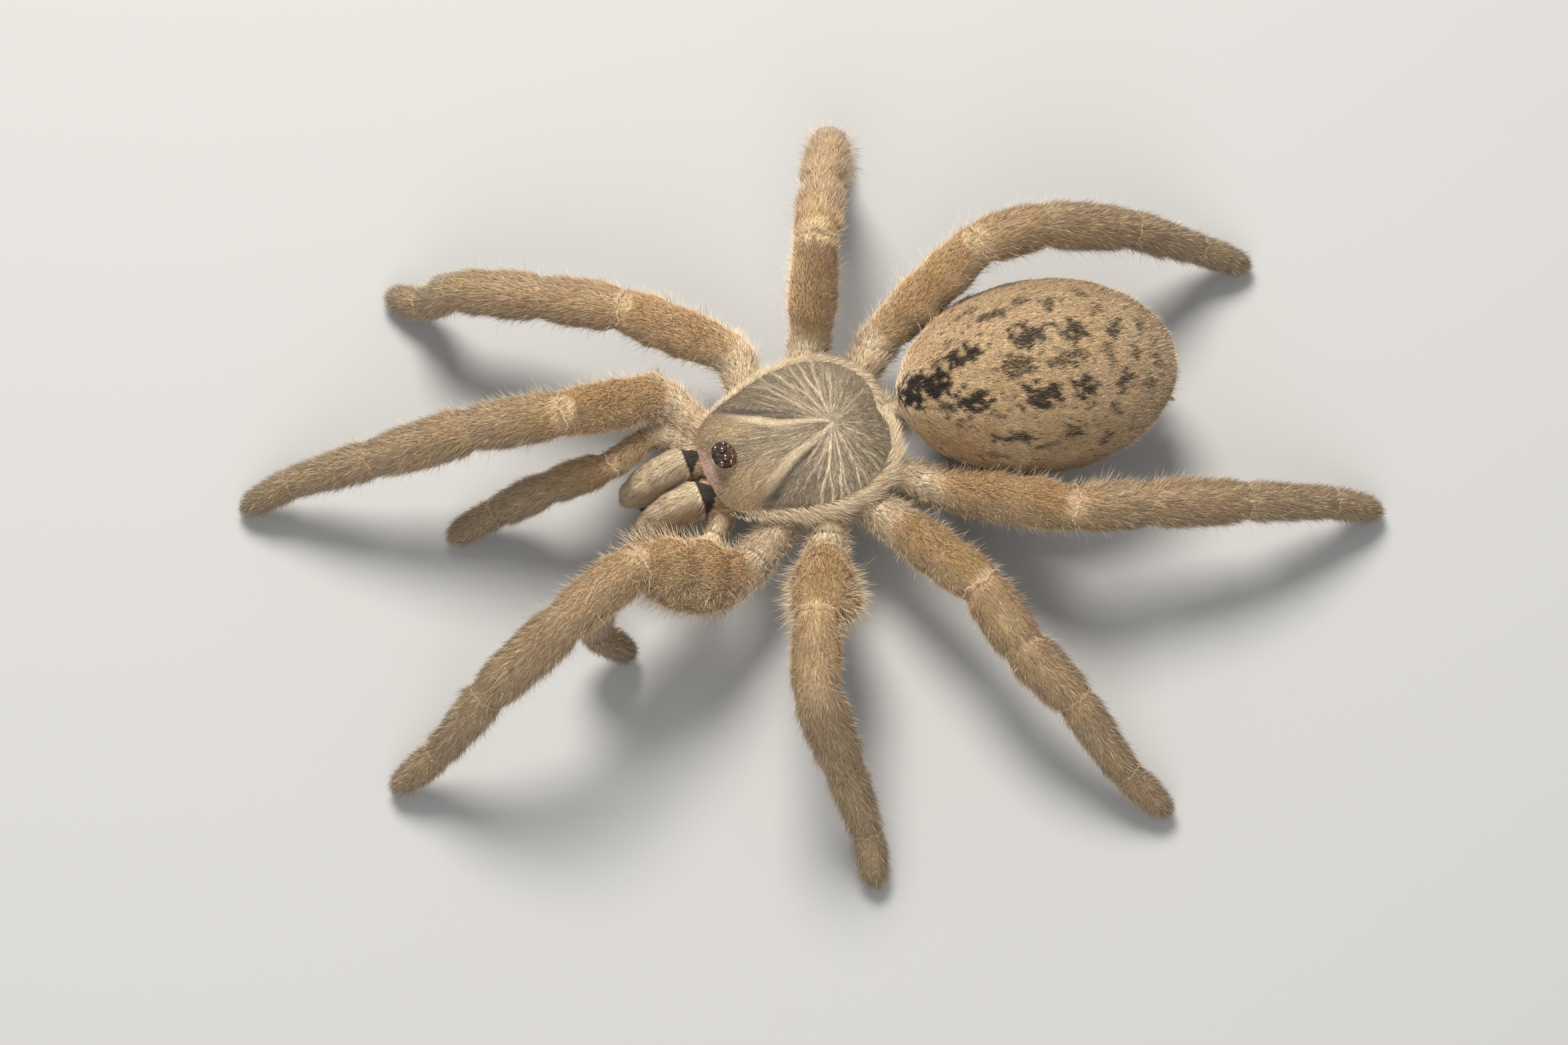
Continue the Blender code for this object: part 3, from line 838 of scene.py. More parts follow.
def limb_line(limb, pinch):
    """Rounded line from inside the body to the end of a foot, with the radius of the skin."""
    points, radii = [], []
    for run in (r for r in RUNS if r.part == limb):
        depth = FURS[run.kind].depth * MM
        length = np.linalg.norm(run.end - run.start)
        # Both stretches of a foot stop short of their ends and aren't pinched there.
        foot = "tarsus" in run.kind
        usable = length - (depth + TIP_SPACE if foot else 0.0)
        steps = np.linspace(0.0, usable / length, round(usable / SKIN_STEP), endpoint=foot)
        for share in steps:
            points.append(run.start + (run.end - run.start) * share)
            girth = np.interp(share, GIRTH_SHARES, run.girths) - depth
            near = min(share, 1.0 - share) * length if "coxa" not in run.kind else length
            if foot:
                near = share * length
            radii.append(max(girth, LEAST_GIRTH) * (1 - pinch * bell(near, PINCH_REACH)))
    axis = unit(points[-1] - points[-4])
    end, radius = points[-1], radii[-1]
    for reach, share in TIP_ROUND[1:]:
        points.append(end + axis * reach * radius)
        radii.append(radius * share)
    points = np.array(points)
    for _ in range(3):
        points[1:-1] = (points[:-2] + 2 * points[1:-1] + points[2:]) / 4
    return points, radii


def straight_tube(name, start, end, radius):
    points = [start + (end - start) * share for share in np.linspace(0, 1, 12)]
    return tube(name, points, [radius] * len(points))


def shrunk_copy(node, depth, rounded=True):
    """Copy of a CAD node that lies inside it by the coat's depth, with its corners rounded or kept."""
    obj = copy_of_node(node, node + "_under_coat")
    if rounded:
        apply_modifier(obj, "SUBSURF", levels=2, render_levels=2)
    apply_modifier(obj, "DISPLACE", strength=-depth * MM, mid_level=0.0)
    return obj


def ellipsoid(name, centre, half):
    deselect_all()
    bpy.ops.mesh.primitive_uv_sphere_add(segments=48, ring_count=24, radius=1.0)
    obj = bpy.context.object
    obj.name = name
    obj.data.transform(Matrix.Translation(Vector(centre)) @ Matrix.Diagonal((*half, 1.0)))
    return obj


def body_lumps():
    """Closed lumps under the coat: abdomen, thighs, jaws, waist, sternum, shell's bed and spinnerets."""
    made = [shrunk_copy("abdomen", FURS["abdomen"].depth)]
    made += [shrunk_copy(f"{limb}_femur", FURS["femur"].depth) for limb in LEGS]
    made += [shrunk_copy(f"chelicera_{side}", FURS["chelicera"].depth, rounded=False) for side in SIDES]
    for name, (centre, half) in BODY_LUMPS.items():
        made.append(ellipsoid(name, spot(*centre), np.array(half) * MM))
    for run in runs_of("pedicel"):
        reach = (run.end - run.start) * 0.6
        made.append(straight_tube("waist", run.start - reach, run.end + reach, WAIST_RADIUS))
    for run in runs_of("chelicera"):
        across = run.start[0] * 0.8 + DATUM[0] * 0.2
        back = np.array([across, DATUM[1] - JAW_ROOT_FRONT, JAW_ROOT_HEIGHT])
        made.append(straight_tube("jaw_root", back, run.start * 0.7 + run.end * 0.3, JAW_ROOT_RADIUS))
    for run in runs_of("spinneret"):
        axis = run.end - run.start
        along = np.linspace(run.start - axis * 0.3, run.end - axis * 0.06, 10)
        radii = np.interp(np.linspace(0, 1, 10), GIRTH_SHARES, run.girths) - FURS["spinneret"].depth * MM
        made.append(tube("spinner", along, radii.clip(LEAST_SPINNER)))
    return made


def wrinkle(mesh, fold):
    """Soft folds round the roots of the limbs and the soles held just above the floor."""
    points, outward = coordinates(mesh), normals(mesh)
    lie = lie_at(points)
    end = to_end(lie)
    near_root = of_kind(lie, *COXAE) * bell(end, 2.2)
    wave = 0.5 * np.sin(2 * np.pi * end / FOLD_PERIOD + 1.5 * ripple(points, 3.0, 21))
    wave -= 2.2 * bell(end - TROCHANTER, 0.3)
    lumps = LUMP_HEIGHT * ripple(points, 2.4, 22)
    points += outward * (near_root * wave * fold + lumps)[:, None]
    points[:, 2] = np.maximum(points[:, 2], LEAST_SOLE)
    place_vertices(mesh, points)


def mark_skin(mesh):
    """Paints the markings, and stores the lie of the hair for the streaks."""
    points = coordinates(mesh)
    lie = lie_at(points)
    # The skin takes the colour a third of the way from a hair's root to its tip, darker than the coat:
    # painted shade under the hair.
    paint_marks(mesh, marks_at(points, lie), 0.35, 0.5 + 0.2 * ripple(points, 0.8, 31))
    around_run = lie.angle * GIRTHS[lie.run].mean(1) / MM
    store_vectors(mesh, "lie", from_start(lie) * 0.9, around_run * 6.0, lie.run * 3.7)


class TARANTULA_OT_skin(bpy.types.Operator):
    """Merge limbs and body into one skin that lies under the coat"""

    bl_idname = "tarantula.skin"
    bl_label = "Skin"

    def execute(self, context):
        settings = context.scene.tarantula_skin
        lumps = body_lumps()
        for limb in LIMBS:
            lumps.append(tube(limb + "_tube", *limb_line(limb, settings.pinch)))
        skin = join(lumps, "skin")
        apply_modifier(skin, "REMESH", mode="VOXEL", voxel_size=settings.grain)
        apply_modifier(skin, "SMOOTH", factor=0.5, iterations=5)
        wrinkle(skin.data, settings.fold)
        mark_skin(skin.data)
        bpy.ops.object.shade_smooth()
        replaced = [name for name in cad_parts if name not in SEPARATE_NODES]
        finish_piece(skin, skin_material(context.scene.tarantula_coat), "leg_coat", *replaced)
        return {"FINISHED"}


# Tufts ------------------------
CORNERS = np.array([[math.cos(a), math.sin(a)] for a in np.radians((90, 210, 330))])
PATCH = 0.003
SUNK = 0.12
TAPER = 1.7
# The steepest rise, as a share, of a tuft that is turned up to clear the floor.
STEEPEST = 0.9
UNWRAP_MARGIN = 0.005
LEAST_TIP = 0.03 * MM


def tuft_pattern(knees):
    """Triangles of one closed tuft and their corners on its patch, with a bend at each knee."""
    rows = knees + 1
    triangles, patch = [], []

    def corner(side, row):
        return (side % 3 + 3 * row), (side / 3, row / rows)

    tip = 3 * rows
    for row in range(rows):
        for side in range(3):
            low, low_next = corner(side, row), corner(side + 1, row)
            if row == rows - 1:
                top = (tip, ((side + 0.5) / 3, 1.0))
                faces = [(low, low_next, top)]
            else:
                high, high_next = corner(side, row + 1), corner(side + 1, row + 1)
                faces = [(low, low_next, high_next), (low, high_next, high)]
            for face in faces:
                triangles.append([c[0] for c in face])
                patch.append([c[1] for c in face])
    triangles.append([2, 1, 0])
    patch.append([(0.0, 1.0), (0.12, 1.0), (0.0, 0.7)])
    return np.array(triangles), np.array(patch)


Tufts = namedtuple("Tufts", "roots ways lengths girths sag marks shades places")


def tuft_arrays(tufts, knees):
    """Corners, triangles, patch corners and paint of tufts that all have the same number of knees."""
    triangles, patch = tuft_pattern(knees)
    count = len(tufts.roots)
    across = unit(np.cross(tufts.ways, unit(tufts.sag + tufts.ways * 0.3)))
    above = np.cross(tufts.ways, across)
    shares = np.linspace(0, 1, knees + 2)
    spans = tufts.ways * tufts.lengths[:, None]
    rows, tips = [], []
    for share in shares[:-1]:
        centre = tufts.roots + spans * share + tufts.sag * (4 * share * (1 - share))
        width = tufts.girths * (1 - share**TAPER)
        ring = across[:, None] * CORNERS[:, :1] + above[:, None] * CORNERS[:, 1:]
        rows.append(centre[:, None] + width[:, None, None] * ring)
        tips += [share] * 3
    rows.append((tufts.roots + spans)[:, None])
    tips.append(1.0)
    points = np.concatenate(rows, 1)
    points[:, :, 2] = np.maximum(points[:, :, 2], LEAST_TIP / 2)
    size = points.shape[1]
    faces = triangles[None] + (np.arange(count) * size)[:, None, None]
    corners = tufts.places[:, None, None] + PATCH * (patch[None] - 0.5)
    mark = np.ones((count, size, 4))
    strand = np.ones((count, size, 4))
    for i, row in enumerate((tufts.marks.dark, tufts.marks.pale, tufts.marks.warm)):
        mark[:, :, i] = row[:, None]
    strand[:, :, 0] = np.array(tips)[None]
    strand[:, :, 1] = tufts.shades[:, None]
    strand[:, :, 2] = tufts.marks.grey[:, None]
    return points.reshape(-1, 3), faces.reshape(-1, 3), corners.reshape(-1, 2), mark, strand


def tuft_mesh(name, tufts, bent):
    """One mesh of straight and bent tufts."""
    sets = [tuft_arrays(pick(tufts, bent == knee), int(knee)) for knee in (False, True)]
    points = np.concatenate([s[0] for s in sets])
    faces = np.concatenate([sets[0][1], sets[1][1] + len(sets[0][0])])
    mesh = bpy.data.meshes.new(name)
    mesh.vertices.add(len(points))
    mesh.vertices.foreach_set("co", flat(points))
    mesh.loops.add(faces.size)
    mesh.loops.foreach_set("vertex_index", faces.ravel().astype(np.int32))
    mesh.polygons.add(len(faces))
    mesh.polygons.foreach_set("loop_start", np.arange(0, faces.size, 3, dtype=np.int32))
    mesh.update(calc_edges=True)
    for title, index in (("mark", 3), ("strand", 4)):
        layer = mesh.color_attributes.new(title, "FLOAT_COLOR", "POINT")
        layer.data.foreach_set("color", np.concatenate([flat(s[index]) for s in sets]))
    bake = mesh.uv_layers.new(name="OFBake", do_init=False)
    bake.uv.foreach_set("vector", flat(np.concatenate([s[2] for s in sets])))
    return mesh


def spread_out(places):
    """Stretches the places of a piece over the whole square of its unwrap."""
    low, high = places.min(0), places.max(0)
    return UNWRAP_MARGIN + (1 - 2 * UNWRAP_MARGIN) * (places - low) / np.maximum(high - low, 1e-6)


def add_coat(name, tufts, bent_share, slot, palette, rng):
    bent = rng.random(len(tufts.roots)) < bent_share
    tufts = tufts._replace(places=spread_out(tufts.places))
    piece = new_object(name, tuft_mesh(name, tufts, bent))
    finish_piece(piece, coat_material(slot + "_tufts", palette), slot)
    print(name, len(tufts.roots), "tufts", len(piece.data.polygons), "triangles")
    return piece


def scatter(obj, crowd_at, rng):
    """Roots spread evenly over a mesh, with the surface normal at each."""
    mesh = obj.data
    mesh.calc_loop_triangles()
    corners = np.empty(len(mesh.loop_triangles) * 3, np.int32)
    mesh.loop_triangles.foreach_get("vertices", corners)
    corners = corners.reshape(-1, 3)
    points, outward = coordinates(mesh), normals(mesh)
    at = points[corners]
    areas = np.linalg.norm(np.cross(at[:, 1] - at[:, 0], at[:, 2] - at[:, 0]), axis=1) / 2
    wanted = areas / MM**2 * crowd_at(at.mean(1))
    face = np.repeat(np.arange(len(corners)), np.floor(wanted + rng.random(len(wanted))).astype(int))
    first, second = rng.random((2, len(face)))
    over = first + second > 1
    first[over], second[over] = 1 - first[over], 1 - second[over]
    share = np.stack([1 - first - second, first, second], 1)[:, :, None]
    return (at[face] * share).sum(1), unit((outward[corners[face]] * share).sum(1))


def varied(rng, count, low, high):
    """Evenly spread random numbers between the two values."""
    return low + (high - low) * rng.random(count)


def random_shades(rng, count, middle, spread):
    """Random shades round the middle one."""
    return (middle + spread * rng.normal(size=count)).clip(0, 1)


def keep_off_floor(roots, ways, lengths):
    """Turns tufts up where they would reach under the floor."""
    lowest = (LEAST_TIP - roots[:, 2]) / np.maximum(lengths, 1e-9)
    ways[:, 2] = np.maximum(ways[:, 2], np.minimum(lowest, STEEPEST))
    return unit(ways)


def leaning(lie_way, outward, rise, stray, rng):
    """Directions that follow the lie of the coat and stand off the surface by the rise."""
    along = unit(lie_way - (lie_way * outward).sum(1, keepdims=True) * outward)
    side = np.cross(outward, along)
    swing = np.radians(stray) * rng.normal(size=len(along))
    lift = np.radians(rise) * (1 + 0.3 * rng.normal(size=len(along)))
    level = along * np.cos(swing)[:, None] + side * np.sin(swing)[:, None]
    return unit(level * np.cos(lift)[:, None] + outward * np.sin(lift)[:, None])


def limb_place(lie):
    """Place on the unwrap of a piece: its runs lie side by side, each as length by turn."""
    order = sorted(set(lie.run.tolist()))
    column = np.zeros(len(RUNS))
    for i, run in enumerate(order):
        column[run] = i
    u = (column[lie.run] + 0.04 + 0.92 * lie.share) / len(order)
    v = 0.004 + 0.992 * (lie.angle / (2 * np.pi) + 0.5)
    return np.stack([u, v], 1)


SHELL_MARGIN = 0.4 * MM
SHELL_COVER = 0.93
UNDER_RIM = 1.2 * MM


def under_shell(points):
    """True for points that the carapace covers."""
    centre = (SHELL_LOW + SHELL_HIGH) / 2
    half = (SHELL_HIGH - SHELL_LOW) / 2 - SHELL_MARGIN
    inside = (((points - centre) / half)[:, :2] ** 2).sum(1) < SHELL_COVER
    return inside & (points[:, 2] > SHELL_LOW[2] - UNDER_RIM)


def band_nearness(lie):
    """How close each point is to the pale line across the far end of a thigh."""
    upper = np.abs(lie.angle) < np.radians(100)
    before = of_kind(lie, *THIGHS) * bell(to_end(lie), 0.7)
    after = of_kind(lie, "patella", "palp_patella") * bell(from_start(lie), 0.3)
    return (before + after) * upper


# Size of the dark dashes of the abdomen in millimetres, how much longer than wide they are, and the
# number of rows of dark hairs round a jaw.
DASH_SIZE = 0.34
DASH_STRETCH = 2.6
JAW_ROWS = 13.0


def fleck_share(points, lie):
    """Share of single dark hairs, which gather in flecks on the abdomen and in fine rows on the jaws."""
    gathered = (0.5 + 0.5 * ripple(points, 0.45, 46)).clip(0, 1) ** 2
    around_run = lie.angle * GIRTHS[lie.run].mean(1)
    drawn_out = np.stack([lie.share * LENGTHS[lie.run] / DASH_STRETCH, around_run, lie.run * MM], 1)
    dash = fade(ripple(drawn_out, DASH_SIZE, 48), 1.0, 99.0, 0.06)
    share = np.where(of_kind(lie, "abdomen"), 0.02 + 0.85 * dash * (0.3 + gathered), 0.012)
    rows = (0.5 + 0.5 * np.sin(lie.angle * JAW_ROWS + 1.5 * ripple(points, 2.0, 47))) ** 4
    return np.where(of_kind(lie, "chelicera"), 0.42 * rows * gathered**0.5, share)


def bare_share(points, lie):
    """One where a limb or a jaw folds and has next to no hair."""
    hinge = of_kind(lie, *COXAE) * bell(to_end(lie) - TROCHANTER, 0.25)
    # The bare rear ends of the jaws show their painted shadow.
    return np.maximum(0.8 * hinge, of_kind(lie, "chelicera") * (points[:, 1] > JAW_REAR))


def grow(obj, kinds, settings, rng):
    """Tufts of the coat over the runs of the kinds given."""

    def crowd_at(middles):
        lie = lie_at(middles)
        crowd = per_run("crowd")[lie.run] * of_kind(lie, *kinds) * settings.crowd
        crowd = crowd * (1 - bare_share(middles, lie))
        return crowd * ~under_shell(middles) * (1 - 0.45 * band_nearness(lie))

    roots, outward = scatter(obj, crowd_at, rng)
    lie = lie_at(roots)
    kept = of_kind(lie, *kinds)
    roots, outward, lie = roots[kept], outward[kept], pick(lie, kept)
    count = len(roots)
    marks = marks_at(roots, lie)
    side_on = np.sin(lie.angle) ** 2
    lengths = per_run("length")[lie.run] * settings.length * MM
    lengths *= (1 + 0.15 * side_on) * (1 - 0.45 * band_nearness(lie)) * varied(rng, count, 0.7, 1.3)
    rise = per_run("rise")[lie.run] * (1 + 0.12 * ripple(roots, 1.6, 41)) * varied(rng, count, 0.6, 1.4)
    way = lie.way + 0.07 * np.stack([ripple(roots, 1.8, seed) for seed in (42, 43, 44)], 1)
    ways = leaning(way, outward, rise, per_run("stray")[lie.run], rng)
    ways = keep_off_floor(roots, ways, lengths)
    thickness = per_run("girth")[lie.run] * MM * varied(rng, count, 0.75, 1.25)
    sag = outward * (lengths * 0.09)[:, None]
    dark = (rng.random(count) < marks.dark**0.7) * (0.85 + 0.15 * rng.random(count))
    marks = marks._replace(dark=np.maximum(dark, (rng.random(count) < fleck_share(roots, lie)) * 0.8))
    shades = random_shades(rng, count, 0.5 + 0.08 * ripple(roots, 1.0, 45), 0.22)
    roots = roots - outward * (SUNK * lengths * np.sin(np.radians(rise)))[:, None]
    return Tufts(roots, ways, lengths, thickness, sag, marks, shades, limb_place(lie)), lie


# Name, material slot, kinds of run and side, if it covers only one.
LIMB_COATS = (
    ("thigh_coat_left", "femur_coat", ("femur",), "left"),
    ("thigh_coat_right", "femur_coat", ("femur",), "right"),
    ("shank_coat_left", "leg_coat", ("patella", "tibia", "metatarsus"), "left"),
    ("shank_coat_right", "leg_coat", ("patella", "tibia", "metatarsus"), "right"),
    ("foot_coat", "tarsus_coat", ("tarsus",), ""),
    ("feeler_coat", "leg_coat", ("palp_femur", "palp_patella", "palp_tibia", "palp_tarsus"), ""),
)


class TARANTULA_OT_limb_coat(bpy.types.Operator):
    """Grow the short dense coat of the legs and palps"""

    bl_idname = "tarantula.limb_coat"
    bl_label = "Limb coat"

    def execute(self, context):
        palette = context.scene.tarantula_coat
        skin = piece_named("skin")
        kinds = sorted({kind for row in LIMB_COATS for kind in row[2]})
        tufts, lie = grow(skin, kinds, palette, np.random.default_rng(1))
        parts = np.array(PARTS)[lie.run]
        for i, (name, slot, own_kinds, side) in enumerate(LIMB_COATS):
            own = of_kind(lie, *own_kinds) & (np.char.find(parts, side) >= 0)
            chosen = pick(tufts, own)
            chosen = chosen._replace(places=limb_place(pick(lie, own)))
            add_coat(name, chosen, palette.bent, slot, palette, np.random.default_rng(100 + i))
        return {"FINISHED"}


# Name, material slot, kinds of run, share of bent tufts, and the side of the midline, if it covers one.
BODY_COATS = (
    ("abdomen_coat_left", "abdomen_coat", ("abdomen", "spinneret"), 0.0, 1),
    ("abdomen_coat_right", "abdomen_coat", ("abdomen", "spinneret"), 0.0, -1),
    ("body_coat", "leg_coat", ("coxa", "palp_coxa", "sternum", "pedicel"), 0.1, 0),
    ("jaw_coat", "leg_coat", ("chelicera",), 0.0, 0),
)


class TARANTULA_OT_body_coat(bpy.types.Operator):
    """Grow the coat of the abdomen, the coxae and the jaws"""

    bl_idname = "tarantula.body_coat"
    bl_label = "Body coat"

    def execute(self, context):
        palette = context.scene.tarantula_coat
        skin = piece_named("skin")
        for i, (name, slot, kinds, bent, hand) in enumerate(BODY_COATS):
            tufts, lie = grow(skin, kinds, palette, np.random.default_rng(10 + i))
            if hand:
                tufts = pick(tufts, np.sign(lie.angle) == hand)
            add_coat(name, tufts, bent, slot, palette, np.random.default_rng(110 + i))
        return {"FINISHED"}


# Carapace ------------------------
SHELL_SPOKES = 432
SHELL_RINGS = 76
SHELL_DEPTH = 0.22 * MM
FOVEA = (0.2, 6.4)
EDGE_REACH = 0.05 * MM
EDGE_STEPS = 16
OUTLINE_WAVES = 16
RIM_ROLL = 0.35 * MM
RIM_LIFT = 0.1 * MM
RIM_TUCK = 0.25 * MM
RIM_BARE = 0.25 * MM
BOTTOM_INSET = 0.5 * MM
SHELL_MIDDLE = (0, 2.5)
SHELL_SMOOTHING = 10
EYE_MOUND = (0.3, -4.8, 1.6, 1.3, 0.55)
# Swing of the fan of lines to the left at distances from the fovea, in degrees.
SWING_REACH = (5.4, 8.7, 11.3)
FAN_SWING = (4.0, 2.5, 0.3)
# Bearing and width of the two bold pale bands at distances from the fovea.
BAND_REACH = (0.0, 1.2, 2.4, 4.3, 5.6, 7.2, 8.7, 9.9, 11.3)
BAND_BEARING = (34.0, 30.0, 24.0, 20.5, 20.5, 23.0, 24.8, 26.0, 27.6)
BAND_WIDTH = (0.15, 0.2, 0.28, 0.38, 0.48, 0.54, 0.5, 0.4, 0.28)
FURROW_REACH = (2.0, 3.2, 4.8, 7.0, 11.0)
FURROW_BEARING = (42.0, 35.5, 31.5, 31.0, 30.8)
FURROW_WIDTH = 0.46
# Bearing at which the pink front edge ends.
PINK_BEARING = 29
# Bearing, strength and reach of the fine pale lines on either side of the fan.
RAYS = (
    (37, 0.9, 6.5), (44, 0.35, 5.5), (52, 0.75, 7.5), (60, 0.95, 8.5), (67, 0.3, 6.5), (75, 0.85, 8.0),
    (84, 0.35, 6.0), (92, 0.8, 7.5), (101, 0.3, 5.5), (110, 0.6, 6.5), (121, 0.3, 5.0), (131, 0.5, 5.0),
    (143, 0.25, 4.0), (155, 0.4, 4.2), (168, 0.3, 3.6),
)
# The same for the fainter lines that cross the caput.
CAPUT_RAYS = ((3, 0.4, 8.0), (7.5, 0.3, 7.0), (12, 0.45, 8.0), (16, 0.3, 6.5))
RAY_WIDTH = 0.045
# Bearings of the shallow dents between the lines.
DENTS = (62, 103, 148)
STREAKS = 42.0
Shell = namedtuple("Shell", "x y r bearing share")
Ray = namedtuple("Ray", "hand bearing bend first last fork splay strength phase")


def outline_reach(angles):
    """Distance from the fovea to the edge of the carapace, as a smooth closed curve."""
    points = node_points("carapace")
    edge = points[points[:, 2] < points[:, 2].min() + EDGE_REACH][:, :2] - spot(*FOVEA, 0)[:2]
    edge = edge[np.argsort(turn_of(edge))]
    corners = np.vstack([edge, edge[:1]])
    steps = np.linspace(0, len(edge), EDGE_STEPS * len(edge), endpoint=False)
    edge = np.stack([np.interp(steps, np.arange(len(corners)), column) for column in corners.T], 1)
    turn = turn_of(edge)
    waves = np.arange(1, OUTLINE_WAVES + 1)

    def terms(a):
        return np.hstack([np.ones((len(a), 1)), np.cos(np.outer(a, waves)), np.sin(np.outer(a, waves))])

    fit, *_ = np.linalg.lstsq(terms(turn), np.linalg.norm(edge, axis=1), rcond=None)
    return terms(angles) @ fit


def shell_place(points):
    """Where points lie on the carapace: millimetres from the fovea and bearing in its fan of lines."""
    from_fovea = (points[:, :2] - spot(*FOVEA, 0)[:2]) / MM
    turn = turn_of(from_fovea)
    r = np.linalg.norm(from_fovea, axis=1)
    share = r * MM / outline_reach(turn)
    bearing = (np.degrees(turn) - np.interp(r, SWING_REACH, FAN_SWING) + 180) % 360 - 180
    return Shell(from_fovea[:, 0] + FOVEA[0], from_fovea[:, 1] + FOVEA[1], r, bearing, share)


def fan_noise(place, low, high, seed):
    """Fine streaks that fan out from the fovea, between about -1 and 1."""
    rng = np.random.default_rng(seed)
    total = np.zeros(len(place.r))
    turn = np.radians(place.bearing)
    for _ in range(FAN_RIPPLE[0]):
        count = rng.integers(low, high)
        total += np.sin(count * turn + rng.uniform(-1.6, 1.6) * place.r + rng.uniform(0, 2 * np.pi))
    return total / FAN_RIPPLE[1]


def aside(place, bearing):
    """Millimetres to the side of a line at the bearing given."""
    return place.r * np.sin(np.radians(np.abs(place.bearing) - bearing))


def fan_rays():
    """Every fine pale line of the fan, each forked into two twigs that splay apart."""
    rng = np.random.default_rng(51)
    rays = []
    for hand in (1, -1):
        for row in RAYS + CAPUT_RAYS:
            bearing, strength, reach = row
            first = rng.uniform(2.2, 3.2) if row in CAPUT_RAYS else rng.uniform(0.4, 1.3)
            last = reach * rng.uniform(0.85, 1.1)
            middle, bend, fork = bearing + rng.uniform(-2, 2), rng.uniform(-0.6, 0.6), rng.uniform(1.6, 4.4)
            for splay in (rng.uniform(0.5, 1.7), -rng.uniform(0.5, 1.7)):
                share = strength * rng.uniform(0.6, 1.1)
                rays.append(Ray(hand, middle, bend, first, last, fork, splay, share, rng.uniform(0, 6)))
    return rays


FAN = fan_rays()


def shell_marks(place):
    """Furrow, pale line, pink edge and caput shares of the colour of the carapace."""
    band_bearing = np.interp(place.r, BAND_REACH, BAND_BEARING)
    ragged = 1 + 0.22 * fan_noise(place, 40, 110, 56)
    width = np.interp(place.r, BAND_REACH, BAND_WIDTH) * ragged
    pale = bell(aside(place, band_bearing), width, 4) * fade(place.r, 0.2, 9.4, 0.6)
    for ray in FAN:
        lean = ray.bearing + ray.bend * place.r + ray.splay * (place.r - ray.fork).clip(0)
        lean = lean + 1.1 * np.sin(1.4 * place.r + ray.phase)
        line = bell(aside(place, lean), RAY_WIDTH + 0.05 * ray.strength + 0.006 * place.r)
        line *= (np.sign(place.bearing) == ray.hand) * fade(place.r, ray.first, ray.last, 0.4)
        pale = np.maximum(pale, ray.strength * line)
    caput = 1 / (1 + np.exp((np.abs(place.bearing) - band_bearing) / 1.0)) * fade(place.r, 1.5, 99, 0.5)
    streaks = np.maximum(fan_noise(place, 90, 260, 53), 0)
    pale = pale + (0.08 + 0.26 * caput) * streaks * fade(place.r, 0.8, 9.0, 0.8)
    furrow_bearing = np.interp(place.r, FURROW_REACH, FURROW_BEARING)
    furrow = bell(aside(place, furrow_bearing), FURROW_WIDTH, 4) * fade(place.r, 3.2, 11.0, 0.4)
    furrow *= 0.8 + 0.35 * fan_noise(place, 20, 60, 54)
    pale = pale * (1 - 0.75 * furrow.clip(0, 1))
    pale += 0.75 * fade(place.share, 0.965, 2.0, 0.008) * (np.abs(place.bearing) > PINK_BEARING)
    pink = fade(place.share, 0.93, 2.0, 0.008) * (np.abs(place.bearing) < PINK_BEARING)
    shadow = 0.5 * np.maximum(fan_noise(place, 30, 90, 55), 0) * (1 - 0.4 * caput)
    corner = fade(place.r, 7.2, 99.0, 0.5) * fade(np.abs(place.bearing), 9.0, 99.0, 2.0)
    dark = np.maximum(furrow, shadow * fade(place.r, 1.0, 8.0, 0.8)) * (1 - pale.clip(0, 1))
    return Marks(*(row.clip(0, 1) for row in (dark, pale, pink, caput * (0.12 + 0.88 * corner))))


def shell_relief(place):
    """Height in millimetres that the carapace's furrows, lines and eye mound add to the dome."""
    across, along, half_across, half_along, height = EYE_MOUND
    mound = bell(np.hypot((place.x - across) / half_across, (place.y - along) / half_along), 1, 2.6)
    pit = bell(place.x - FOVEA[0], 0.7) * bell(place.y - FOVEA[1], 0.3)
    furrow_bearing = np.interp(place.r, FURROW_REACH, FURROW_BEARING)
    furrow = bell(aside(place, furrow_bearing), 0.6) * fade(place.r, 1.8, 11.2, 0.6)
    dents = sum(bell(aside(place, bearing), 0.7) for bearing in DENTS) * fade(place.r, 1.2, 6.5, 0.8)
    marks = shell_marks(place)
    raised = 0.05 * marks.pale * (place.share < 0.94)
    swell = 0.18 * marks.grey * fade(place.r, 2.5, 11.8, 0.9)
    return height * mound - 0.4 * pit - 0.28 * furrow - 0.14 * dents + raised + swell


def polar_disc(name):
    """Flat disc of rings, drawn from its rim inwards and closed at the centre."""
    deselect_all()
    bpy.ops.mesh.primitive_circle_add(vertices=SHELL_SPOKES, radius=1.0)
    disc = bpy.context.object
    disc.name = name
    with editing(disc):
        for ring in range(SHELL_RINGS - 1, 0, -1):
            shrink = ring / (ring + 1)
            bpy.ops.mesh.extrude_edges_move()
            bpy.ops.transform.resize(value=(shrink, shrink, 1.0))
        bpy.ops.mesh.merge(type="CENTER")
        face_outwards()
    return disc


def close_underneath(shell):
    """Rolls the rim of the carapace under and closes the bottom."""
    middle = spot(*SHELL_MIDDLE, 0)
    middle[2] = SHELL_LOW[2] + RIM_LIFT
    with editing(shell):
        bpy.ops.mesh.region_to_loop()
        for shrink, fall in ((1.0, 0.4), (0.985, 0.6), (0.95, 0.35)):
            bpy.ops.mesh.extrude_edges_move()
            bpy.ops.transform.translate(value=(0, 0, -fall * RIM_ROLL))
            bpy.ops.transform.resize(value=(shrink, shrink, 1.0), center_override=middle)
        bpy.ops.mesh.edge_face_add()
        bpy.ops.mesh.inset(thickness=BOTTOM_INSET)
        bpy.ops.mesh.select_all(action="SELECT")
        bpy.ops.mesh.quads_convert_to_tris(quad_method="BEAUTY", ngon_method="BEAUTY")
        face_outwards()


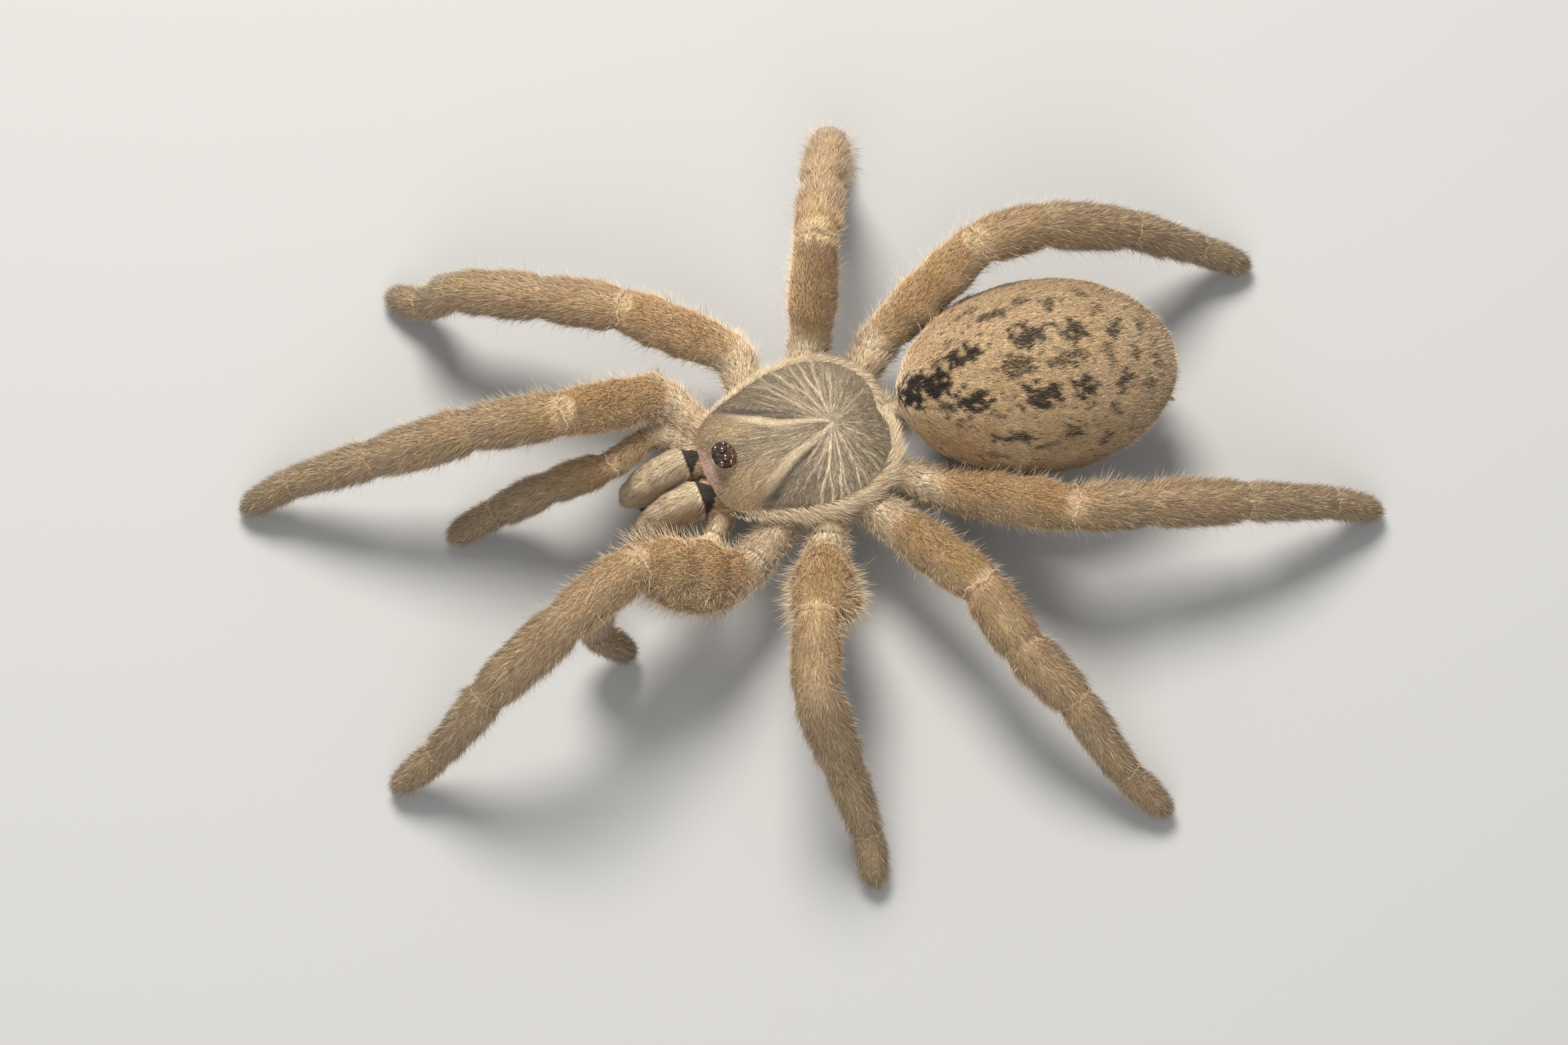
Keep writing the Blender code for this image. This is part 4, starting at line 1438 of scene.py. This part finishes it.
def dome_height(points):
    """Height of the CAD carapace over each point."""
    solid = copy_of_node("carapace", "dome_guide")
    found = dropped_on(solid.data, points)
    bpy.data.objects.remove(solid)
    if None in found:
        raise RuntimeError("the carapace reaches past its solid")
    return np.array(found)


def smooth_over_rings(order, height):
    """Averages the heights with their neighbours along the rings and spokes, outside the centre."""
    grid = height[order].reshape(SHELL_RINGS - 1, SHELL_SPOKES)
    for _ in range(SHELL_SMOOTHING):
        grid = (np.roll(grid, 1, 1) + np.roll(grid, -1, 1) + 2 * grid) / 4
        inner = (grid[:-2] + grid[2:] + 2 * grid[1:-1]) / 4
        grid[1:-1] = inner
    height[order] = grid.ravel()
    return height


class TARANTULA_OT_carapace(bpy.types.Operator):
    """Model the domed carapace with its fovea, furrows and fan of lines"""

    bl_idname = "tarantula.carapace"
    bl_label = "Carapace"

    def execute(self, context):
        shell = polar_disc("carapace_shell")
        disc = coordinates(shell.data)
        share = np.linalg.norm(disc[:, :2], axis=1)
        turn = turn_of(disc)
        reach = (outline_reach(turn) - SHELL_DEPTH) * share
        points = reach[:, None] * level_way(turn) + spot(*FOVEA, 0)
        height = dome_height(points)
        centre, *order = np.lexsort((turn, np.round(share * SHELL_RINGS)))
        height = smooth_over_rings(order, height)
        height[centre] = height[order[:SHELL_SPOKES]].mean()
        place = shell_place(points)
        relief = shell_relief(place) * MM * (1 - fade(place.share, 0.9, 2, 0.015))
        points[:, 2] = height - SHELL_DEPTH + relief - RIM_TUCK * fade(share, 0.97, 2.0, 0.01)
        place_vertices(shell.data, points)
        close_underneath(shell)
        place = shell_place(coordinates(shell.data))
        paint_marks(shell.data, shell_marks(place), 0.5, 0.5)
        # The fine streaks turn with the bearing and stretch outwards.
        turn = np.radians(place.bearing)
        store_vectors(shell.data, "fan", STREAKS * np.sin(turn), STREAKS * np.cos(turn), place.r * 0.6)
        bpy.ops.object.shade_smooth()
        finish_piece(shell, shell_material(head_palette(context)), "carapace", "carapace")
        return {"FINISHED"}


Palette = namedtuple("Palette", "root tip warm_root warm_tip grey_root grey_tip pale dark")


def darker(colour, share):
    return tuple(channel * share for channel in colour)


def head_palette(context):
    """The coat's colours with the felt and the furrows of the carapace. Warm is its pink edge."""
    coat, head = context.scene.tarantula_coat, context.scene.tarantula_head
    return Palette(
        root=darker(head.felt, 0.7), tip=head.felt, warm_root=darker(head.edge, 0.8), warm_tip=head.edge,
        grey_root=darker(head.caput, 0.75), grey_tip=head.caput, pale=coat.pale, dark=head.groove,
    )


def shell_material(palette):
    """Felted shell: markings under fine radial streaks and a nap."""
    material, tree, shader = start_material("felted_shell")
    colour = fur_colour(tree, palette, 1.6)
    streak = attribute_noise(tree, "fan", 4.0)
    nap = object_noise(tree, 9000.0, 3.0)
    both = node(tree, "ShaderNodeMath", {0: streak, 1: nap}, operation="ADD").outputs[0]
    value = scaled(tree, both, 0.78, 1.16, (0.75, 1.25))
    link_look(tree, shader, varied_value(tree, colour, value), both, 0.6, 0.06 * MM)
    set_gloss(shader, Roughness=0.6, Specular_IOR_Level=0.3, Sheen_Weight=0.2, Sheen_Roughness=0.5)
    return material


# Eyes ------------------------
# Across, along and up from the middle of the mound, and radius, of each of four pairs, in millimetres.
EYES = (
    (0.44, 0.0, 0.26, 0.41), (0.9, -0.56, 0.08, 0.37), (1.06, 0.36, 0.04, 0.33), (0.6, 0.68, 0.14, 0.25),
)
EYE_FLATNESS = 0.86
MOUND_HALF = np.array([1.42, 1.14, 0.3]) * MM
MOUND_GRAIN = 0.05 * MM


class TARANTULA_OT_eyes(bpy.types.Operator):
    """Set eight glossy eyes in the mound"""

    bl_idname = "tarantula.eyes"
    bl_label = "Eyes"

    def execute(self, context):
        head = context.scene.tarantula_head
        low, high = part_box("eyes")
        middle = np.array([(low[0] + high[0]) / 2, (low[1] + high[1]) / 2, low[2]])
        beads = []
        for across, along, up, radius in EYES:
            for hand in (1, -1):
                beads.append(self.bead(middle, (hand * across, along, up), radius * head.eye_scale))
        eyes = join(beads, "eight_eyes")
        bpy.ops.object.shade_smooth()
        finish_piece(eyes, eye_material(head), "eyes", "eyes")
        mound = ellipsoid("eye_mound", middle, MOUND_HALF)
        points = coordinates(mound.data)
        outward = normals(mound.data)
        place_vertices(mound.data, points + outward * (MOUND_GRAIN * ripple(points, 0.3, 58))[:, None])
        behind = ((points - middle) / MOUND_HALF)[:, 1] + 0.25 * ripple(points, 0.5, 59)
        paint(mound.data, "mark", (fade(behind, 0.62, 9.0, 0.14),))
        bpy.ops.object.shade_smooth()
        finish_piece(mound, mound_material(head), "eyes")
        return {"FINISHED"}

    def bead(self, middle, offset, radius):
        """Round lens, leaning outwards from the middle of the mound."""
        centre = Vector(middle + np.array(offset) * MM)
        lean = Vector((offset[0] * 0.75, offset[1] * 0.75, 1.0)).normalized()
        turn = lean.to_track_quat("Z", "Y").to_matrix().to_4x4()
        deselect_all()
        bpy.ops.mesh.primitive_uv_sphere_add(segments=32, ring_count=20, radius=radius * MM)
        bead = bpy.context.object
        with editing(bead):
            bpy.ops.transform.resize(value=(1.0, 1.0, EYE_FLATNESS))
        bead.data.transform(Matrix.Translation(centre) @ turn)
        return bead


def mound_material(head):
    """Dark brown mound that the eyes sit on, rough and a little ambered."""
    material, tree, shader = start_material("dark_mound")
    cloud = object_noise(tree, 3000.0, 3.0)
    colour = mix(tree, cloud, opaque(darker(head.mound, 0.5)), opaque(darker(head.mound, 1.6)))
    colour = mix(tree, channels(tree, "mark")[0], colour, opaque(head.amber))
    link_look(tree, shader, colour, cloud, 0.6, 0.05 * MM)
    set_gloss(shader, Roughness=0.55, Specular_IOR_Level=0.25)
    return material


def eye_material(head):
    """Dark amber lens under a clear wet coat."""
    material, tree, shader = start_material("wet_lens")
    cloud = object_noise(tree, 1800.0)
    colour = mix(tree, cloud, opaque(darker(head.lens, 0.35)), opaque(head.lens))
    link_look(tree, shader, colour)
    set_gloss(shader, Roughness=0.08, Specular_IOR_Level=0.7, Coat_Weight=1.0, Coat_Roughness=0.03)
    return material


# Fangs and claws ------------------------
CLAW_LENGTH = 0.75
CLAW_BENDS = 5
CLAW_CURL = 14
CLAW_TAPER = 0.78
CLAW_POINT = 0.3
CLAW_RADIUS = 0.12 * MM
CLAW_SETBACK = 1.1 * MM
CLAW_SPREAD = 0.28 * MM


def horn_material(head):
    """Near-black horn, redder in soft patches of noise."""
    material = bpy.data.materials.get("dark_horn")
    if material:
        return material
    material, tree, shader = start_material("dark_horn")
    cloud = object_noise(tree, 700.0)
    colour = mix(tree, cloud, opaque(head.fang), opaque(tint("3a150c")))
    link_look(tree, shader, colour)
    set_gloss(shader, Roughness=0.25, Specular_IOR_Level=0.6)
    return material


class TARANTULA_OT_fangs(bpy.types.Operator):
    """Round off the two fangs under the jaws"""

    bl_idname = "tarantula.fangs"
    bl_label = "Fangs"

    def execute(self, context):
        for side in SIDES:
            fang = copy_of_node(f"fang_{side}", f"fang_{side}_horn")
            apply_modifier(fang, "SUBSURF", levels=2, render_levels=2)
            bpy.ops.object.shade_smooth()
            finish_piece(fang, horn_material(context.scene.tarantula_head), "fang", f"fang_{side}")
        return {"FINISHED"}


class TARANTULA_OT_claws(bpy.types.Operator):
    """Hook a pair of small claws under the end of every foot"""

    bl_idname = "tarantula.claws"
    bl_label = "Claws"

    def execute(self, context):
        pattern = self.claw()
        claws = []
        for run in runs_of("tarsus", "palp_tarsus"):
            way = Vector(unit(run.end - run.start))
            across = way.cross(Vector((0, 0, 1))).normalized()
            for hand in (1, -1):
                place = Vector(run.end) - way * CLAW_SETBACK + across * hand * CLAW_SPREAD
                turn = Matrix((across, way, across.cross(way))).transposed().to_4x4()
                claw = new_object("claw", pattern.data.copy())
                claw.data.transform(Matrix.Translation(place) @ turn)
                claws.append(claw)
        bpy.data.objects.remove(pattern)
        joined = join(claws, "claws")
        bpy.ops.object.shade_smooth()
        finish_piece(joined, horn_material(context.scene.tarantula_head), "fang")
        return {"FINISHED"}

    def claw(self):
        """Hooked cone that starts at the origin and points along +Y."""
        deselect_all()
        bpy.ops.mesh.primitive_circle_add(
            vertices=10, radius=CLAW_RADIUS, fill_type="NGON", rotation=(-math.pi / 2, 0, 0)
        )
        claw = bpy.context.object
        bpy.ops.object.transform_apply(rotation=True)
        step = CLAW_LENGTH * MM / CLAW_BENDS
        with editing(claw):
            for bend in range(CLAW_BENDS):
                lean = math.radians(CLAW_CURL * bend)
                move = (0, step * math.cos(lean), -step * math.sin(lean))
                bpy.ops.mesh.extrude_region_move(TRANSFORM_OT_translate={"value": move})
                shrink = CLAW_TAPER if bend < CLAW_BENDS - 1 else CLAW_POINT
                bpy.ops.transform.resize(value=(shrink, shrink, shrink))
            face_outwards()
        return claw


# Coat of the carapace, fringe, bristles and joint lines ------------------------
# Layers of hair on the carapace: tufts to a square millimetre, length, girth, rise and stray, how pale
# every tuft is, and how closely the layer keeps to the pale lines.
Layer = namedtuple("Layer", "crowd length girth rise stray pale follow")
LAYERS = {
    "carapace_felt": Layer(68.0, 0.48, 0.021, 9.0, 24.0, 0.0, 0.0),
    "carapace_strands": Layer(110.0, 0.95, 0.017, 5.0, 5.0, 0.1, 0.97),
}
EYE_CLEARING = (1.45, 1.15)
FRINGE_ROOTS = 8500
FRINGE_GIRTH = 0.018
FRINGE_BENT = 0.45
# Degrees from straight ahead at which the fringe starts.
FRINGE_START = 25.0


def shell_spread(points):
    """Place on the unwrap of the carapace, which opens its dome out flat."""
    share = (points - SHELL_LOW) / (SHELL_HIGH - SHELL_LOW)
    return 0.01 + 0.98 * share[:, :2].clip(0, 1)


def radial_way(place):
    """Way from the fovea outwards."""
    way = np.stack([place.x - FOVEA[0], place.y - FOVEA[1], np.zeros(len(place.r))], 1)
    return unit(way)


def eye_nearness(place, spread):
    """Falls from one at the middle of the eye mound, past the size of its clearing."""
    across, along = (place.x - EYE_MOUND[0]) / EYE_CLEARING[0], (place.y - EYE_MOUND[1]) / EYE_CLEARING[1]
    return bell(np.hypot(across, along), spread, 6)


class TARANTULA_OT_shell_coat(bpy.types.Operator):
    """Lay the felt of the carapace and the pale fringe round its edge"""

    bl_idname = "tarantula.shell_coat"
    bl_label = "Carapace coat"

    def execute(self, context):
        shell = piece_named("carapace_shell")
        palette = head_palette(context)
        for i, (name, layer) in enumerate(LAYERS.items()):
            hair = self.laid_hair(shell, layer, np.random.default_rng(62 + i))
            add_coat(name, hair, 0.0, "carapace", palette, np.random.default_rng(60))
        coat = context.scene.tarantula_coat
        rng = np.random.default_rng(61)
        add_coat("carapace_fringe", self.fringe(), FRINGE_BENT, "leg_coat", coat, rng)
        return {"FINISHED"}

    def laid_hair(self, shell, layer, rng):
        def crowd_at(middles):
            place = shell_place(middles)
            marks = shell_marks(place)
            lines = 1 - layer.follow * (1 - (0.05 + 1.3 * marks.pale + 0.14 * marks.grey).clip(0, 1))
            clear = (1 - 0.9 * eye_nearness(place, 1.0)) * (middles[:, 2] > SHELL_LOW[2] + RIM_BARE)
            return layer.crowd * (1 - 0.85 * marks.dark) * lines * clear

        roots, outward = scatter(shell, crowd_at, rng)
        place = shell_place(roots)
        marks = shell_marks(place)
        count = len(roots)
        near_eyes = eye_nearness(place, 1.25)
        lengths = layer.length * MM * varied(rng, count, 0.7, 1.3) * np.interp(place.r, (0, 2), (0.35, 1.0))
        lengths *= (1 - 0.5 * near_eyes) * np.interp(place.share, (0.9, 1.0), (1.0, 0.6))
        lift = layer.rise * (1 + 2.5 * near_eyes) + 12.0 * (place.share > 0.955)
        ways = leaning(radial_way(place), outward, lift, layer.stray, rng)
        thickness = layer.girth * MM * varied(rng, count, 0.8, 1.2)
        shades = random_shades(rng, count, 0.5, 0.24)
        sag = outward * (lengths * 0.05)[:, None]
        pale = (marks.pale + layer.pale * rng.random(count)).clip(0, 1)
        marks = marks._replace(dark=marks.dark * 0.7, pale=pale * (1 - 0.6 * marks.warm))
        return Tufts(roots, ways, lengths, thickness, sag, marks, shades, shell_spread(roots))

    def heights(self, roots, outside):
        """Height of the shell above each root, or the height given where a root is outside it."""
        found = dropped_on(piece_named("carapace_shell").data, roots)
        return np.array([low if height is None else height for height, low in zip(found, outside)])

    def fringe(self):
        """Long strands that leave the rim at a slant and flow back along it, fuller on the left side."""
        rng = np.random.default_rng(63)
        turn = rng.uniform(-np.pi, np.pi, FRINGE_ROOTS)
        turn = turn[np.abs(np.degrees(turn)) > FRINGE_START + 3.0 * rng.normal(size=len(turn))]
        count = len(turn)
        degrees = np.degrees(turn)
        rear = fade(np.abs(degrees), 140.0, 999.0, 8.0)
        full = fade(degrees, 20.0, 135.0, 10.0)
        out = level_way(turn)
        back = np.stack([np.cos(turn), np.sin(turn), np.zeros(count)], 1) * np.sign(turn)[:, None]
        layer = rng.random(count)
        reach = outline_reach(turn) + (-0.55 + (0.75 + 0.3 * full + 0.1 * rear) * layer) * MM
        roots = out * reach[:, None] + spot(*FOVEA, 0)
        roots[:, 2] = self.heights(roots, SHELL_LOW[2] + (0.4 - 0.6 * layer) * MM)
        swirl = 9.0 * np.sin(7.0 * turn + 1.0) + 8.0 * np.sin(17.0 * turn)
        slant = np.radians(6.0 + (1.0 + full) * (swirl * 0.4 + 6.0 * rng.random(count)))
        ways = back * np.cos(slant)[:, None] + out * np.sin(slant)[:, None]
        ways += 0.15 * rng.normal(size=ways.shape)
        ways[:, 2] += 0.04 - 0.1 * layer
        ways = unit(ways)
        start = np.interp(np.abs(degrees), (FRINGE_START, 60.0), (0.3, 1.0))
        lengths = (1.35 + 0.9 * full - 0.2 * rear) * MM * varied(rng, count, 0.5, 1.3) * start
        bow = np.where(rng.random(count) < 0.7, 0.08, -0.04) * lengths
        sag = out * bow[:, None]
        pale = (0.68 + 0.4 * rng.random(count)).clip(0, 1) * (rng.random(count) < 0.88)
        none = np.zeros(count)
        marks = Marks(none, pale, none, none + 0.3)
        thickness = FRINGE_GIRTH * MM * varied(rng, count, 0.7, 1.3)
        shades = random_shades(rng, count, 0.58, 0.2)
        places = np.stack([turn / (2 * np.pi) + 0.5, layer], 1)
        return Tufts(roots, ways, lengths, thickness, sag, marks, shades, places)


BRISTLE_CROWD = 3.9
BRISTLE_GIRTH = 0.021
BRISTLE_BENT = 0.12
# Length of the bristles on each kind of run against the setting, where it isn't one.
BRISTLE_SIZES = {
    "tarsus": 0.62, "metatarsus": 0.9, "palp_tarsus": 0.5, "palp_tibia": 0.6, "palp_patella": 0.6,
    "palp_femur": 0.55, "palp_coxa": 0.7, "abdomen": 0.5, "spinneret": 0.4,
}
# Angle from the top of a limb, in radians, past which its underside starts.
UNDER_SIDE = 1.1
# Limb, kind of run and share of its length past which the bristles under it are longer and closer.
SHAGGY = (
    ("leg_right_3", "metatarsus", 0.2), ("leg_right_3", "tarsus", 0.0), ("leg_left_1", "femur", 0.1),
    ("leg_left_2", "femur", 0.3), ("leg_right_3", "tibia", 0.7),
)


class TARANTULA_OT_bristles(bpy.types.Operator):
    """Stand long pale hairs up through the coat"""

    bl_idname = "tarantula.bristles"
    bl_label = "Bristles"

    def execute(self, context):
        coat = context.scene.tarantula_coat
        kinds = [kind for kind in FURS if kind not in ("pedicel", "sternum", "chelicera")]
        rng = np.random.default_rng(70)

        def crowd_at(middles):
            lie = lie_at(middles)
            crowd = np.where(of_kind(lie, "abdomen"), 0.2 + 2.4 * self.tail(lie), 1.0)
            crowd = np.where(of_kind(lie, "coxa"), 2.4, crowd) * (1 + 1.4 * self.shaggy(lie))
            return BRISTLE_CROWD * crowd * of_kind(lie, *kinds) * ~under_shell(middles)

        roots, outward = scatter(piece_named("skin"), crowd_at, rng)
        lie = lie_at(roots)
        count = len(roots)
        sizes = np.array([BRISTLE_SIZES.get(run.kind, 1.0) for run in RUNS])[lie.run]
        shaggy = self.shaggy(lie)
        sizes = sizes * (1 + 0.45 * shaggy)
        lengths = coat.bristle * sizes * (varied(rng, count, 0.38, 0.8) + 0.3 * (rng.random(count) < 0.1))
        rise = np.where(of_kind(lie, "abdomen"), 26.0 + 34.0 * self.tail(lie), 50.0)
        ways = leaning(lie.way, outward, rise, 18.0, rng)
        ways = keep_off_floor(roots, ways, lengths)
        marks = marks_at(roots, lie)
        marks = marks._replace(pale=np.maximum(marks.pale, 0.2 + 0.5 * rng.random(count)))
        thickness = BRISTLE_GIRTH * MM * varied(rng, count, 0.8, 1.2) * (1 + 0.3 * shaggy)
        sag = outward * (lengths * 0.12)[:, None]
        shades = random_shades(rng, count, 0.55, 0.2)
        tufts = Tufts(roots, ways, lengths, thickness, sag, marks, shades, limb_place(lie))
        add_coat("bristles", tufts, BRISTLE_BENT, "leg_coat", coat, rng)
        return {"FINISHED"}

    def tail(self, lie):
        """One over the rear end of the abdomen."""
        return fade(lie.share, 0.72, 9.0, 0.04)

    def shaggy(self, lie):
        """One on the stretches of the limbs whose bristles are longer, thicker and closer."""
        found = np.zeros(len(lie.run))
        for limb, kind, start in SHAGGY:
            there = np.array([run.part == limb and run.kind == kind for run in RUNS])[lie.run]
            found = np.maximum(found, there & (lie.share > start))
        return found * (np.abs(lie.angle) > UNDER_SIDE)


# Each pale line across a joint: the joint counted from the hip, half the angle that it spans, tufts,
# strength, how far it bends towards the foot at the top, in millimetres, and its width.
JOINT_LINES = (
    (1, 82, 380, 0.85, 0.55, 0.05), (2, 60, 90, 0.35, -0.3, 0.16), (3, 85, 150, 0.5, 0.1, 0.1),
    (4, 85, 130, 0.5, 0.1, 0.1),
)
# Length and girth of the hairs of a line in millimetres, how far they sag, how high over the skin
# they lie and how far out the skin is looked for.
LINE_HAIR = (0.18, 0.03)
LINE_SAG = 0.02 * MM
LINE_LIFT = 0.36 * MM
LINE_SEARCH = 4 * MM


class TARANTULA_OT_joint_lines(bpy.types.Operator):
    """Draw the cream lines of short hair across the joints of the limbs"""

    bl_idname = "tarantula.joint_lines"
    bl_label = "Joint lines"

    def execute(self, context):
        coat = context.scene.tarantula_coat
        tree = ray_tree(piece_named("skin").data)
        rng = np.random.default_rng(80)
        rows = []
        for limb in LIMBS:
            runs = [r for r in RUNS if r.part == limb][1:]
            for line in JOINT_LINES:
                if line[0] < len(runs):
                    rows += self.line(tree, runs, line, rng)
        roots, ways, outward, strength, runs_at = (np.array(column) for column in zip(*rows))
        count = len(roots)
        lengths = LINE_HAIR[0] * MM * varied(rng, count, 0.7, 1.3)
        none = np.zeros(count)
        marks = Marks(none, strength * varied(rng, count, 0.5, 0.8), none + 0.9, none)
        shades = random_shades(rng, count, 0.6, 0.2)
        places = np.stack([(runs_at + 0.5) / len(LIMBS), rng.uniform(0.05, 0.95, count)], 1)
        thickness = none + LINE_HAIR[1] * MM
        tufts = Tufts(roots, ways, lengths, thickness, outward * LINE_SAG, marks, shades, places)
        add_coat("joint_lines", tufts, 0.0, "leg_coat", coat, rng)
        return {"FINISHED"}

    def line(self, tree, runs, line, rng):
        """Root, way, outward way, strength and limb of each hair of a line."""
        joint, half_angle, count, strength, bend, width = line
        before, after = runs[joint - 1], runs[joint]
        axis = unit(unit(before.end - before.start) + unit(after.end - after.start))
        top = unit(UP - axis[2] * axis)
        side = np.cross(top, axis)
        size = 0.8 if before.part in PALPS else 1.0
        rows = []
        for _ in range(round(count * size)):
            turn = math.radians(rng.uniform(-half_angle, half_angle))
            out = top * math.cos(turn) + side * math.sin(turn)
            dip = bend * math.cos(turn * 90 / half_angle) ** 4 + width * rng.normal() * 0.6
            dip += 0.1 * math.sin(9 * turn + joint) + 0.05 * math.sin(31 * turn)
            centre = before.end + axis * dip * MM * size
            hit = tree.ray_cast(Vector(centre + out * LINE_SEARCH), Vector(-out), LINE_SEARCH)
            if hit[0] is None:
                continue
            around_joint = np.cross(axis, out) * rng.choice((-1, 1))
            way = unit(around_joint + 0.25 * axis * rng.normal() + 0.25 * out + 0.15 * rng.normal(size=3))
            lift = LINE_LIFT * (0.7 + 0.5 * rng.random())
            number = LIMBS.index(before.part)
            rows.append((np.array(hit[0]) + out * lift, way, out, strength, number))
        return rows


# Panel and running ------------------------
class TARANTULA_PT_pieces(bpy.types.Panel):
    """Sidebar panel with the settings and one button for each group of pieces"""

    bl_idname = "TARANTULA_PT_pieces"
    bl_label = "Tarantula"
    bl_space_type = "VIEW_3D"
    bl_region_type = "UI"
    bl_category = "Tarantula"

    def draw(self, context):
        for name, group in GROUPS.items():
            box = self.layout.box()
            for setting in group.__annotations__:
                box.prop(getattr(context.scene, name), setting)
        for maker in MAKERS:
            self.layout.operator(maker.bl_idname)


MAKERS = (
    TARANTULA_OT_stage, TARANTULA_OT_skin, TARANTULA_OT_carapace, TARANTULA_OT_eyes,
    TARANTULA_OT_fangs, TARANTULA_OT_claws, TARANTULA_OT_limb_coat, TARANTULA_OT_body_coat,
    TARANTULA_OT_shell_coat, TARANTULA_OT_bristles, TARANTULA_OT_joint_lines,
)
CLASSES = (TarantulaSkin, TarantulaCoat, TarantulaHead, TarantulaStage, *MAKERS, TARANTULA_PT_pieces)
GROUPS = {
    "tarantula_skin": TarantulaSkin, "tarantula_coat": TarantulaCoat,
    "tarantula_head": TarantulaHead, "tarantula_stage": TarantulaStage,
}


def register():
    for cls in CLASSES:
        bpy.utils.register_class(cls)
    for name, group in GROUPS.items():
        setattr(bpy.types.Scene, name, PointerProperty(type=group))


def unregister():
    for name in GROUPS:
        delattr(bpy.types.Scene, name)
    for cls in reversed(CLASSES):
        bpy.utils.unregister_class(cls)


def main():
    register()
    bpy.ops.tarantula.stage()
    bpy.ops.tarantula.skin()
    bpy.ops.tarantula.carapace()
    bpy.ops.tarantula.eyes()
    bpy.ops.tarantula.fangs()
    bpy.ops.tarantula.claws()
    bpy.ops.tarantula.limb_coat()
    bpy.ops.tarantula.body_coat()
    bpy.ops.tarantula.shell_coat()
    bpy.ops.tarantula.bristles()
    bpy.ops.tarantula.joint_lines()


if __name__ == "__main__":
    main()
